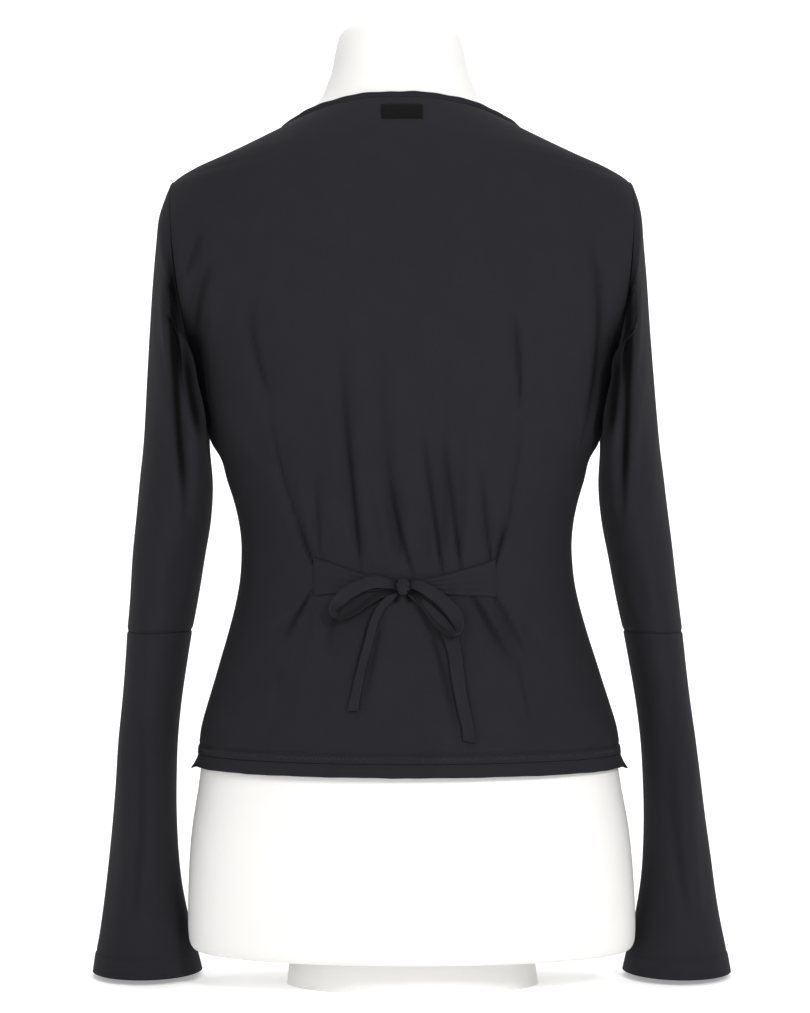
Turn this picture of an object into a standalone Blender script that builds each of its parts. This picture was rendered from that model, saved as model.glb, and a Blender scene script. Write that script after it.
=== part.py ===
"""Fitted jersey cardigan on a limbless dress form, metres, +Z up.

The back of the garment faces -Y and the front +Y, +X is to the right when the back is
looked at, and the origin is under the middle of the form's foot.
The tables are in millimetres. A table row is one section or one fold, read from the
bottom of the piece to its top unless its name says otherwise.
"""

from collections import namedtuple
from math import asin, cos, exp, pi, radians, sin

import bmesh
import bpy
from mathutils import Matrix, Vector

MM = 0.001

# Driving sizes
WALL = 1.2 * MM              # thickness of the jersey
SEAM_GAP = 0.3 * MM          # between two pieces that are sewn together
REST_GAP = 0.4 * MM          # between a piece and the cloth that it lies on
FORM_GAP = 1.5 * MM          # between the form and the hanging cloth at the sides
SHOULDER_GAP = 1.2 * MM      # between the form and the cloth that it carries
BACK_EASE = 4.0 * MM         # more room at the middle of the back, where the folds are
FRONT_EASE = 1.5 * MM        # more room at the middle of the front
ARMHOLE_INSET = 1.6          # the form's arm plates lie this much further in, mm
LEAN = -0.0138               # sideways lean of the form for each unit of height
LAP = 10.0                   # each front runs this far past the middle, mm
LAP_LIFT = 2.2               # the upper front lies this far over the lower one, mm
LAP_FROM, LAP_TO = 40.0, 18.0    # the upper front rises between these distances, mm

# Columns of points across each piece
BACK_COLUMNS = 32
BACK_CROWDING = 0.42         # how far the columns crowd to the middle, where the gathers are
FRONT_COLUMNS = 10
FORM_COLUMNS = 16            # in each half of the form
NAPE_COLUMNS = 20
SLEEVE_SIDES = 16
ARMHOLE_STEPS = SLEEVE_SIDES // 2

# Level sections of the body, from the raw lower edge to the underarm
Level = namedtuple("Level", "height half_width back front")
STRIP_FOOT = Level(169.6, 166.4, 111.2, 105.6)
LEVELS = [
    Level(180.0, 164.6, 110.0, 104.0),
    Level(200.0, 162.0, 107.6, 102.0),
    Level(220.0, 156.2, 104.5, 99.5),
    Level(236.0, 151.2, 101.3, 97.0),
    Level(252.0, 146.4, 98.0, 94.6),
    Level(267.0, 141.8, 94.6, 92.5),
    Level(283.0, 137.2, 91.0, 90.6),
    Level(298.0, 133.4, 88.0, 89.5),
    Level(314.0, 130.4, 85.6, 89.0),
    Level(330.0, 129.0, 84.5, 89.7),
    Level(345.0, 128.9, 84.6, 91.6),
    Level(361.0, 130.8, 86.0, 95.2),
    Level(377.0, 134.5, 88.3, 100.3),
    Level(392.0, 139.2, 91.0, 106.3),
    Level(408.0, 143.4, 93.6, 113.0),
    Level(423.0, 151.8, 95.8, 119.2),
    Level(446.0, 157.6, 98.8, 128.0),
    Level(468.0, 160.4, 101.2, 134.0),
    Level(489.3, 162.4, 103.0, 137.0),
]

# The armhole is an oval that stands nearly upright, from the underarm to the shoulder tip
ARMHOLE_MID_X, ARMHOLE_RISE_X, ARMHOLE_BOW = 169.7, 7.3, 5.0
ARMHOLE_MID_Z, ARMHOLE_HALF_Z = 556.65, 67.35
ARMHOLE_HALF_DEPTH = 50.0
Armhole = namedtuple("Armhole", "back back_height front front_height turn")
ARMHOLE = [
    Armhole(103.6, 495.2, 137.0, 494.4, 84.0),
    Armhole(104.7, 511.5, 136.2, 508.6, 76.0),
    Armhole(105.4, 535.5, 133.6, 529.5, 70.0),
    Armhole(104.8, 564.5, 128.6, 554.0, 67.0),
    Armhole(102.0, 594.0, 121.5, 576.0, 68.0),
    Armhole(98.0, 619.5, 112.5, 592.0, 72.0),
    Armhole(94.0, 638.0, 105.5, 601.0, 80.0),
    Armhole(90.5, 648.0, 101.0, 607.0, 88.0),
]

# Sections over the shoulder, from the shoulder tip to the neck
Shoulder = namedtuple("Shoulder", "edge_x edge_height back back_height front front_height rise")
SHOULDER = [
    Shoulder(163.0, 632.5, 85.5, 656.5, 92.0, 616.0, 1.7),
    Shoulder(147.0, 639.3, 79.5, 664.0, 84.0, 624.0, 1.8),
    Shoulder(130.0, 646.6, 73.0, 671.0, 76.0, 631.0, 2.0),
    Shoulder(112.0, 654.6, 66.0, 677.6, 67.5, 638.0, 2.2),
    Shoulder(96.0, 661.6, 58.5, 683.6, 59.0, 645.0, 2.4),
]

# The form below the hem, from its rounded lower edge up, and its neck
HIP = [
    Level(26.5, 168.5, 91.0, 90.0),
    Level(31.0, 172.6, 95.5, 94.0),
    Level(40.0, 174.2, 99.0, 97.0),
    Level(60.0, 174.3, 103.5, 100.0),
    Level(90.0, 173.0, 107.0, 102.0),
    Level(120.0, 170.4, 107.6, 102.4),
    Level(150.0, 165.4, 104.8, 100.4),
    Level(166.0, 163.0, 104.4, 100.4),
]
UNDERSIDE = Level(25.0, 160.0, 84.0, 83.0)
FOOT_TOP = Level(24.6, 95.0, 62.0, 62.0)
FOOT_SOLE = Level(0.0, 98.0, 64.0, 64.0)
NECK = [
    Shoulder(77.0, 671.6, 52.0, 688.0, 54.0, 660.0, 2.6),
    Shoulder(62.4, 687.6, 50.0, 696.0, 53.6, 682.0, 2.4),
    Shoulder(57.3, 698.8, 49.2, 703.0, 53.0, 697.0, 2.0),
    Shoulder(53.4, 708.8, 49.0, 711.0, 51.5, 708.0, 2.0),
    Shoulder(51.5, 718.0, 48.4, 719.0, 50.4, 718.0, 2.0),
    Shoulder(49.5, 727.5, 47.2, 728.0, 49.0, 727.5, 2.0),
    Shoulder(46.8, 737.0, 44.8, 737.0, 46.4, 737.0, 2.0),
    Shoulder(42.0, 742.8, 40.2, 742.8, 41.6, 742.8, 2.0),
    Shoulder(33.0, 747.6, 31.6, 747.6, 32.7, 747.6, 2.0),
    Shoulder(18.0, 751.2, 17.2, 751.2, 17.8, 751.2, 2.0),
]

# Sleeve sections: where the outer and the inner edge lie, and the depth from back to front.
# Between its edges a section bows outwards, or towards the body where the bow is negative.
# The left sleeve is fuller at its outer edge, and the right one slimmer, by the last column.
Cuff = namedtuple("Cuff", "outer_x outer_height inner_x inner_height half_depth middle_y bow fuller")
UPPER_SLEEVE = [
    Cuff(216.2, 275.0, 168.2, 275.0, 52.0, 0.0, 0.0, 2.3),
    Cuff(213.7, 298.0, 163.4, 298.0, 53.0, 0.0, 0.0, 2.4),
    Cuff(210.8, 330.0, 157.8, 330.0, 54.0, 0.0, 0.0, 2.9),
    Cuff(207.6, 361.0, 152.4, 361.0, 55.0, 0.0, -1.0, 2.9),
    Cuff(204.5, 392.0, 151.2, 390.0, 56.0, 0.0, -4.0, 2.9),
    Cuff(201.0, 423.0, 155.6, 417.0, 56.5, 0.0, -10.0, 2.8),
    Cuff(197.7, 470.0, 156.8, 437.0, 56.5, 0.0, -11.0, 2.9),
    Cuff(195.0, 510.0, 159.6, 452.0, 56.0, 0.0, -10.0, 2.8),
    Cuff(192.5, 548.0, 161.0, 464.0, 55.0, 0.0, -6.0, 2.3),
    Cuff(190.0, 575.0, 162.2, 473.0, 54.0, 0.0, -2.0, 1.9),
    Cuff(187.2, 596.0, 163.0, 480.0, 52.6, 0.0, 2.0, 1.4),
    Cuff(182.6, 611.5, 163.6, 485.4, 51.2, 0.0, 4.4, 0.4),
]
LOWER_SLEEVE = [
    Cuff(252.0, 4.0, 167.0, 4.6, 56.0, 36.0, 0.0, 0.4),
    Cuff(249.6, 18.0, 170.0, 18.0, 55.2, 34.0, 0.0, 0.5),
    Cuff(246.2, 34.0, 174.0, 34.0, 54.2, 31.0, 0.0, 0.5),
    Cuff(242.8, 52.0, 177.2, 52.0, 53.2, 27.5, 0.0, 0.7),
    Cuff(239.6, 72.0, 180.4, 72.0, 52.2, 23.0, 0.0, 0.8),
    Cuff(236.4, 96.0, 182.6, 96.0, 51.2, 18.5, 0.0, 0.7),
    Cuff(232.4, 127.0, 183.6, 127.0, 50.2, 13.5, 0.0, 0.9),
    Cuff(228.8, 158.0, 183.0, 158.0, 49.6, 9.5, 0.0, 1.1),
    Cuff(225.2, 189.0, 181.2, 189.0, 49.2, 6.0, 0.0, 1.7),
    Cuff(221.4, 220.5, 177.4, 220.5, 49.4, 3.0, 0.0, 1.9),
    Cuff(218.2, 252.0, 172.2, 252.0, 50.6, 1.0, 0.0, 2.1),
    Cuff(216.2, 274.7, 168.2, 274.7, 52.0, 0.0, 0.0, 2.3),
]

# Soft troughs in the back: gathers over the tie, then the two darts above and below it
Fold = namedtuple("Fold", "top_x top_height low_x low_height half_width depth")
BACK_FOLDS = [
    Fold(-53.0, 522.0, -36.0, 336.0, 11.0, 3.0),
    Fold(-23.0, 518.0, -5.0, 336.0, 11.0, 3.2),
    Fold(27.0, 518.0, 37.0, 336.0, 11.0, 3.0),
    Fold(-111.0, 512.0, -97.0, 425.0, 12.0, 2.0),
    Fold(-97.0, 440.0, -70.0, 334.0, 8.0, 2.4),
    Fold(86.0, 512.0, 87.0, 425.0, 12.0, 2.0),
    Fold(88.0, 440.0, 68.0, 334.0, 8.0, 2.4),
    Fold(-73.0, 304.0, -106.0, 196.0, 8.0, 1.8),
    Fold(67.0, 304.0, 91.0, 200.0, 8.0, 1.8),
    Fold(50.0, 303.0, 78.0, 250.0, 8.0, 1.8),
]

# The tie lies across the waist: its two ends leave the darts and taper to the knot
Tie = namedtuple("Tie", "x upper_height lower_height")
TIE_LEFT = [
    Tie(-70.5, 333.4, 304.4),
    Tie(-60.0, 330.4, 305.6),
    Tie(-46.0, 325.6, 306.6),
    Tie(-32.0, 320.8, 307.6),
    Tie(-20.0, 317.6, 308.6),
    Tie(-12.4, 316.2, 309.0),
]
TIE_RIGHT = [
    Tie(67.0, 332.0, 303.6),
    Tie(56.0, 328.6, 304.4),
    Tie(43.0, 324.6, 304.6),
    Tie(30.0, 321.0, 305.6),
    Tie(16.0, 317.6, 307.4),
    Tie(5.4, 316.4, 308.6),
]

# Paths over the back: place, and how far the band's middle stands off the cloth
Band = namedtuple("Band", "x height lift")
KNOT = Band(-3.5, 312.4, 3.6)
KNOT_HALF_WIDTH, KNOT_HALF_HEIGHT, KNOT_HALF_DEPTH = 7.4, 7.6, 3.0
BAND_THICKNESS = 1.6
BAND_SIDES = 8
TAIL_LEFT_WIDTH, TAIL_RIGHT_WIDTH, LOOP_WIDTH = 7.6, 9.6, 6.4
TAIL_LEFT = [
    Band(-11.0, 303.0, 2.6),
    Band(-19.0, 297.4, 1.8),
    Band(-25.0, 287.0, 1.4),
    Band(-30.0, 275.0, 1.3),
    Band(-34.6, 257.0, 1.3),
    Band(-38.6, 238.0, 1.3),
    Band(-41.6, 219.0, 1.3),
]
TAIL_RIGHT = [
    Band(4.6, 303.0, 2.4),
    Band(14.0, 295.4, 1.4),
    Band(24.0, 285.6, 1.3),
    Band(31.4, 275.0, 1.3),
    Band(35.0, 262.0, 1.3),
    Band(36.6, 244.0, 1.3),
    Band(39.4, 226.0, 1.3),
    Band(43.2, 208.0, 1.3),
    Band(43.4, 196.6, 1.3),
]
LOOP_LEFT = [
    Band(-12.6, 314.4, 4.6),
    Band(-26.0, 317.0, 5.6),
    Band(-40.0, 309.4, 6.6),
    Band(-50.0, 302.0, 7.6),
    Band(-54.6, 294.4, 8.2),
    Band(-50.4, 287.0, 7.8),
    Band(-42.0, 290.0, 6.6),
    Band(-33.0, 297.6, 5.6),
    Band(-22.0, 304.6, 4.8),
    Band(-12.6, 307.4, 4.6),
]
LOOP_RIGHT = [
    Band(5.6, 314.0, 4.6),
    Band(17.0, 307.4, 5.6),
    Band(28.0, 298.0, 6.4),
    Band(36.0, 287.4, 7.0),
    Band(37.6, 279.4, 7.2),
    Band(30.6, 273.6, 7.0),
    Band(21.6, 279.0, 6.4),
    Band(15.4, 289.0, 5.8),
    Band(9.6, 299.0, 5.0),
    Band(5.6, 306.0, 4.6),
]

# Neck strip, label and buttons
NECK_STRIP_HEIGHT = 5.4
NECK_STRIP_STAND = 1.8       # how steeply the strip stands up where the body slopes
NECK_POINT_HEIGHT = SHOULDER[-1].edge_height
LABEL_MIDDLE_X, LABEL_MIDDLE_HEIGHT = 1.0, 671.0
LABEL_WIDTH, LABEL_HEIGHT, LABEL_THICKNESS = 31.0, 12.0, 0.6
BUTTON_COUNT = 6
BUTTON_LOWEST, BUTTON_HIGHEST = 196.0, 474.0
BUTTON_RADIUS, BUTTON_THICKNESS, BUTTON_SIDES = 5.5, 2.4, 16
BUTTON_RIM, BUTTON_HOLLOW = 1.3, 0.7

# Colours
JERSEY = (0.022, 0.022, 0.026)
FORM_WHITE = (0.86, 0.85, 0.82)
HORN = (0.015, 0.015, 0.017)
LABEL_BLACK = (0.010, 0.010, 0.011)

Section = namedtuple(
    "Section",
    "edge_x edge_y edge_z back_y back_z front_y front_z turn rise")


def level_section(level):
    """A section that stays level all round, with its side seams at y = 0."""
    return Section(level.half_width, SEAM_GAP / MM / 2, level.height,
                   level.back, level.height, level.front, level.height, 90.0, 2.0)


def armhole_point(angle):
    """x, y and height on the armhole oval; 0 is the shoulder tip and pi the underarm."""
    return (ARMHOLE_MID_X + ARMHOLE_RISE_X * cos(angle) + ARMHOLE_BOW * abs(sin(angle)),
            ARMHOLE_HALF_DEPTH * sin(angle),
            ARMHOLE_MID_Z + ARMHOLE_HALF_Z * cos(angle))


def armhole_section(step, row):
    """A section that ends on the armhole, a number of steps above the underarm."""
    edge_x, edge_y, edge_z = armhole_point(pi - step * pi / ARMHOLE_STEPS)
    return Section(edge_x, max(edge_y, SEAM_GAP / MM / 2), edge_z, row.back, row.back_height,
                   row.front, row.front_height, row.turn, 1.6)


def shoulder_section(row):
    """A section that ends on the shoulder seam or goes round the neck."""
    return Section(row.edge_x, SEAM_GAP / MM / 2, row.edge_height, row.back, row.back_height,
                   row.front, row.front_height, 90.0, row.rise)


BODY = ([level_section(level) for level in LEVELS]
        + [armhole_section(step + 1, row) for step, row in enumerate(ARMHOLE)]
        + [shoulder_section(row) for row in SHOULDER])
TIP_ROW = len(LEVELS) + len(ARMHOLE) - 1
UNDERARM_ROW = len(LEVELS) - 1
SEAM_ROWS = [*range(UNDERARM_ROW + 1), *range(TIP_ROW, len(BODY))]


def between(first, second, share):
    """The section part of the way from one to the next."""
    return Section(*(a + (b - a) * share for a, b in zip(first, second)))


def body_section(place):
    """The body's section at a place counted in rows, whole or part of the way."""
    index = min(int(place), len(BODY) - 2)
    return between(BODY[index], BODY[index + 1], place - index)


def fold_depth(x, z):
    """How far the back's troughs sink at a place, mm."""
    total = 0.0
    for fold in BACK_FOLDS:
        share = (fold.top_height - z) / (fold.top_height - fold.low_height)
        if 0.0 < share < 1.0:
            middle = fold.top_x + (fold.low_x - fold.top_x) * share
            fade = min(1.0, 2.2 * share, 9.0 * (1.0 - share))
            total += fold.depth * fade * exp(-((x - middle) / fold.half_width) ** 2)
    return total


def section_point(section, share, back, folded=False):
    """A point of a section, mm: share runs from -1 at the -X edge to 1 at the +X edge."""
    turn = radians(section.turn)
    across = sin(share * turn) / sin(turn)
    forward = (cos(share * turn) - cos(turn)) / (1.0 - cos(turn))
    depth = section.back_y if back else section.front_y
    middle_z = section.back_z if back else section.front_z
    x = section.edge_x * across
    y = section.edge_y + (depth - section.edge_y) * forward
    z = section.edge_z + (middle_z - section.edge_z) * (1.0 - abs(across) ** section.rise)
    if folded:
        y -= fold_depth(x, z)
    return Vector((x, -y if back else y, z))


def share_at(section, x):
    """The share of a section at which it reaches x."""
    turn = radians(section.turn)
    return asin(max(-1.0, min(1.0, x / section.edge_x * sin(turn)))) / turn


def standing(point):
    """A point of the tables as it stands in the part: in metres, leaning with the form."""
    return Vector((point.x * MM + LEAN * point.z * MM, point.y * MM, point.z * MM))


def section_normal(place, x, back):
    """The outward normal of the smooth body at a place counted in rows, and at x, mm."""
    low = min(place, len(BODY) - 1.05)
    section, above = body_section(low), body_section(low + 0.05)
    point = section_point(section, share_at(section, x), back)
    inward = -0.5 if x > 0 else 0.5
    side = (section_point(section, share_at(section, x + inward), back) - point) * inward
    up = section_point(above, share_at(above, x + inward), back) - point - side * 2 * 0.5
    normal = side.cross(up).normalized()
    return normal if back else -normal


def surface_place(x, height, back):
    """The point of the smooth body at x and height, mm, with its outward normal."""
    low, high = 0.0, len(BODY) - 1.0
    for _ in range(40):
        middle = (low + high) / 2
        section = body_section(middle)
        if section_point(section, share_at(section, x), back).z < height:
            low = middle
        else:
            high = middle
    section = body_section(low)
    return section_point(section, share_at(section, x), back), section_normal(low, x, back)


def grid_normals(grid, closed, middles):
    """Outward unit normals of a grid of points, by the neighbours of each point."""
    rows, columns = len(grid), len(grid[0])
    normals = []
    for i in range(rows):
        line = []
        for j in range(columns):
            if closed:
                left, right = grid[i][(j - 1) % columns], grid[i][(j + 1) % columns]
            else:
                left, right = grid[i][max(j - 1, 0)], grid[i][min(j + 1, columns - 1)]
            low, high = grid[max(i - 1, 0)][j], grid[min(i + 1, rows - 1)][j]
            normal = (right - left).cross(high - low).normalized()
            if normal.dot(grid[i][j] - middles[i]) < 0:
                normal.negate()
            line.append(normal)
        normals.append(line)
    return normals


def squared_to_seams(normals, rows):
    """Normals whose edge rows point straight out at the seams, so that the rims lie flat."""
    for i in rows:
        for j in (0, -1):
            normals[i][j].y = 0.0
            normals[i][j].normalize()
    return normals


def axis_middles(grid):
    """The middle of the leaning body at the height of each row of a grid."""
    heights = [sum(point.z for point in line) / len(line) for line in grid]
    return [Vector((LEAN * height, 0.0, height)) for height in heights]


def ring_middles(grid):
    """The middle of each closed ring of a grid."""
    return [sum(line, Vector()) / len(line) for line in grid]


def moved(grid, normals, distance):
    """The grid moved along its normals."""
    return [[point + normal * distance for point, normal in zip(line, directions)]
            for line, directions in zip(grid, normals)]


def material(name, colour, roughness):
    """A plain Principled material."""
    finish = bpy.data.materials.new(name)
    finish.use_nodes = True
    shader = finish.node_tree.nodes["Principled BSDF"]
    shader.inputs["Base Color"].default_value = (*colour, 1.0)
    shader.inputs["Roughness"].default_value = roughness
    shader.inputs["Metallic"].default_value = 0.0
    return finish


def add_object(name, points, faces, finish):
    """One named solid from points and faces, with its faces turned outwards."""
    mesh = bpy.data.meshes.new(name)
    mesh.from_pydata([tuple(point) for point in points], [], faces)
    work = bmesh.new()
    work.from_mesh(mesh)
    bmesh.ops.recalc_face_normals(work, faces=work.faces)
    work.to_mesh(mesh)
    work.free()
    mesh.shade_smooth()
    mesh.set_sharp_from_angle(angle=radians(40))
    mesh.materials.append(finish)
    solid = bpy.data.objects.new(name, mesh)
    bpy.context.scene.collection.objects.link(solid)
    return solid


def add_wall(name, outer, inner, finish, closed=False):
    """A thin wall between two grids of the same size, closed along its rims."""
    rows, columns = len(outer), len(outer[0])
    points = [point for grid in (outer, inner) for line in grid for point in line]
    back_start = rows * columns

    def at(i, j):
        return i * columns + j % columns

    spans = columns if closed else columns - 1
    faces = []
    for i in range(rows - 1):
        for j in range(spans):
            quad = (at(i, j), at(i, j + 1), at(i + 1, j + 1), at(i + 1, j))
            faces.append(quad)
            faces.append(tuple(back_start + k for k in reversed(quad)))
    for i in (0, rows - 1):
        for j in range(spans):
            a, b = at(i, j), at(i, j + 1)
            faces.append((a, b, back_start + b, back_start + a))
    if not closed:
        for j in (0, columns - 1):
            for i in range(rows - 1):
                a, b = at(i, j), at(i + 1, j)
                faces.append((a, b, back_start + b, back_start + a))
    return add_object(name, points, faces, finish)


def add_loft(name, rings, finish):
    """A solid through closed rings of equal size, with flat caps."""
    size = len(rings[0])
    points = [point for ring in rings for point in ring]
    faces = [tuple(range(size))]
    faces.append(tuple((len(rings) - 1) * size + j for j in range(size)))
    for i in range(len(rings) - 1):
        for j in range(size):
            a, b = i * size + j, i * size + (j + 1) % size
            faces.append((a, b, b + size, a + size))
    return add_object(name, points, faces, finish)


def crowded_shares(columns):
    """Shares from -1 to 1 that lie closer together in the middle."""
    steps = [-1.0 + 2.0 * j / columns for j in range(columns + 1)]
    return [step * (1.0 - BACK_CROWDING) + BACK_CROWDING * step ** 3 for step in steps]


def build_back(jersey):
    """The back, cut in one, from the turned hem to the turned neck edge."""
    outer = [[standing(section_point(section, share, True, folded=True))
              for share in crowded_shares(BACK_COLUMNS)] for section in BODY]
    normals = squared_to_seams(grid_normals(outer, False, axis_middles(outer)), SEAM_ROWS)
    return add_wall("back", outer, moved(outer, normals, -WALL), jersey)


def neck_line_x(height):
    """How far from the middle the front's neck edge lies at a height; negative past it."""
    bottom = LEVELS[-1].height
    climb = max(0.0, (height - bottom) / (NECK_POINT_HEIGHT - bottom))
    return -LAP + (SHOULDER[-1].edge_x - 4.0 + LAP) * climb ** 0.9


def front_point(section, x, side):
    """A point of one front; side is -1 or 1, and the +1 front lies over the other."""
    point = section_point(section, share_at(section, x), False)
    if side > 0:
        rise = max(0.0, min(1.0, (LAP_FROM - x) / (LAP_FROM - LAP_TO)))
        lift = LAP_LIFT * rise * rise * (3.0 - 2.0 * rise)
        outward = Vector((point.x / section.edge_x ** 2, point.y / section.front_y ** 2, 0.0))
        point += outward.normalized() * lift
    return point


def front_row(section, side, columns):
    """Points of one front's section, from its side or armhole edge to its inner edge."""
    inner = share_at(section, side * neck_line_x(section.edge_z))
    points = []
    for j in range(columns + 1):
        share = side + (inner - side) * j / columns
        turn = radians(section.turn)
        x = section.edge_x * sin(share * turn) / sin(turn)
        points.append(front_point(section, x, side))
    return points


def build_front(name, side, jersey):
    """One front, plain, with its neck edge running down to the middle."""
    outer = [[standing(point) for point in front_row(section, side, FRONT_COLUMNS)]
             for section in BODY]
    normals = grid_normals(outer, False, axis_middles(outer))
    for i in SEAM_ROWS:
        normals[i][0].y = 0.0
        normals[i][0].normalize()
    return add_wall(name, outer, moved(outer, normals, -WALL), jersey)


def build_hem_strip(jersey):
    """The raw strip under the turned hem, from one front's edge round to the other's."""
    rows = []
    top = LEVELS[0]._replace(height=LEVELS[0].height - SEAM_GAP / MM)
    for level in (STRIP_FOOT, top):
        section = level_section(level)
        left = front_row(section, -1, FRONT_COLUMNS)[::-1]
        middle = [section_point(section, share, True) for share in crowded_shares(BACK_COLUMNS)]
        right = front_row(section, 1, FRONT_COLUMNS)
        rows.append([standing(point) for point in left[:-1] + middle + right[1:]])
    normals = grid_normals(rows, False, axis_middles(rows))
    return add_wall("hem_strip", rows, moved(rows, normals, -WALL), jersey)


def neck_path():
    """Points along the neck edge with their normals, from one front's edge to the other's."""
    path = []
    for side in (-1, 1):
        branch = []
        for place in range(UNDERARM_ROW, len(BODY)):
            x = side * neck_line_x(BODY[place].edge_z)
            branch.append((front_point(BODY[place], x, side), section_normal(place, x, False)))
        path.append(branch)
    left, right = path
    nape = [(section_point(BODY[-1], share, True),
             section_normal(len(BODY) - 1, BODY[-1].edge_x * sin(share * pi / 2), True))
            for share in crowded_shares(NAPE_COLUMNS)]
    return left + nape + right[::-1]


def build_neck_strip(jersey):
    """The raw strip that stands on the neck edge, from one front's edge to the other's."""
    path = [(standing(point), normal) for point, normal in neck_path()]
    grid, normals = [[], []], [[], []]
    for j, (point, normal) in enumerate(path):
        along = (path[min(j + 1, len(path) - 1)][0] - path[max(j - 1, 0)][0]).normalized()
        onward = along.cross(normal).normalized()
        if onward.dot(Vector((-point.x, 0.0, 0.2))) < 0:
            onward.negate()
        onward = (onward + Vector((0.0, 0.0, NECK_STRIP_STAND * max(0.0, normal.z - 0.3)))).normalized()
        outward = onward.cross(along).normalized()
        if outward.dot(normal) < 0:
            outward.negate()
        grid[0].append(point + onward * SEAM_GAP * 1.6)
        grid[1].append(point + onward * NECK_STRIP_HEIGHT * MM)
        normals[0].append(outward)
        normals[1].append(outward)
    return add_wall("neck_strip", grid, moved(grid, normals, -WALL), jersey)


def sleeve_ring(row, side):
    """The points of one sleeve section; the first lies on the outer edge."""
    outer = Vector((row.outer_x - side * row.fuller, 0.0, row.outer_height))
    inner = Vector((row.inner_x, 0.0, row.inner_height))
    middle, half = (outer + inner) / 2, (outer - inner) / 2
    ring = []
    for k in range(SLEEVE_SIDES):
        angle = 2 * pi * k / SLEEVE_SIDES
        point = middle + half * cos(angle)
        point.x += row.bow * abs(sin(angle))
        point.y = row.middle_y + row.half_depth * sin(angle)
        point.x *= side
        ring.append(standing(point))
    return ring


def armhole_ring(side):
    """The sleeve's top edge, set out from the armhole by the seam gap."""
    ring = []
    for k in range(SLEEVE_SIDES):
        x, y, z = armhole_point(2 * pi * k / SLEEVE_SIDES)
        ring.append(standing(Vector((side * (x + 2 * SEAM_GAP / MM), y, z))))
    return ring


def build_sleeve(name, rings, jersey, set_in=False):
    """A tube of cloth through a run of rings, open at both ends; one set in ends upright."""
    normals = grid_normals(rings, True, ring_middles(rings))
    if set_in:
        for normal in normals[-1]:
            normal.x = 0.0
            normal.normalize()
    return add_wall(name, rings, moved(rings, normals, -WALL), jersey, closed=True)


def build_tie(name, rows, jersey):
    """One end of the tie, tapering from the dart to the knot."""
    outer = [[], []]
    normals = [[], []]
    for row in rows:
        for line, height in ((0, row.lower_height), (1, row.upper_height)):
            point, normal = surface_place(row.x, height, True)
            outer[line].append(standing(point + normal * (REST_GAP + WALL) / MM))
            normals[line].append(normal)
    return add_wall(name, outer, moved(outer, normals, -WALL), jersey)


def build_band(name, path, width, jersey):
    """A narrow band of cloth along a path over the back, with a rounded flat section."""
    middles, outs = [], []
    for row in path:
        point, normal = surface_place(row.x, row.height, True)
        middles.append(standing(point + normal * row.lift))
        outs.append(normal)
    rings = []
    for j, middle in enumerate(middles):
        along = (middles[min(j + 1, len(path) - 1)] - middles[max(j - 1, 0)]).normalized()
        across = along.cross(outs[j]).normalized()
        out = across.cross(along).normalized()
        if out.dot(outs[j]) < 0:
            out.negate()
        rings.append([middle
                      + across * cos(2 * pi * k / BAND_SIDES) * width * MM / 2
                      + out * sin(2 * pi * k / BAND_SIDES) * BAND_THICKNESS * MM / 2
                      for k in range(BAND_SIDES)])
    return add_loft(name, rings, jersey)


def build_knot(jersey):
    """The knot: a small cushion of cloth, thicker in its middle."""
    point, normal = surface_place(KNOT.x, KNOT.height, True)
    middle = standing(point + normal * KNOT.lift)
    side = Vector((1.0, 0.0, 0.0))
    across = (side - normal * side.dot(normal)).normalized()
    up = normal.cross(across).normalized()
    work = bmesh.new()
    bmesh.ops.create_uvsphere(work, u_segments=12, v_segments=8, radius=1.0)
    turn = Matrix((across * KNOT_HALF_WIDTH * MM, up * KNOT_HALF_HEIGHT * MM,
                   normal * KNOT_HALF_DEPTH * MM)).transposed()
    points = [middle + turn @ vertex.co for vertex in work.verts]
    work.verts.index_update()
    faces = [tuple(vertex.index for vertex in face.verts) for face in work.faces]
    work.free()
    return add_object("bow_knot", points, faces, jersey)


def build_label(finish):
    """The blank neck label, a thin patch under the back's neck edge."""
    columns, grid, normals = 6, [[], []], [[], []]
    for line, height in ((0, LABEL_MIDDLE_HEIGHT - LABEL_HEIGHT / 2),
                         (1, LABEL_MIDDLE_HEIGHT + LABEL_HEIGHT / 2)):
        for j in range(columns + 1):
            x = LABEL_MIDDLE_X + LABEL_WIDTH * (j / columns - 0.5)
            point, normal = surface_place(x, height, True)
            grid[line].append(standing(point + normal * (REST_GAP / MM + LABEL_THICKNESS)))
            normals[line].append(normal)
    return add_wall("neck_label", grid, moved(grid, normals, -LABEL_THICKNESS * MM), finish)


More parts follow.
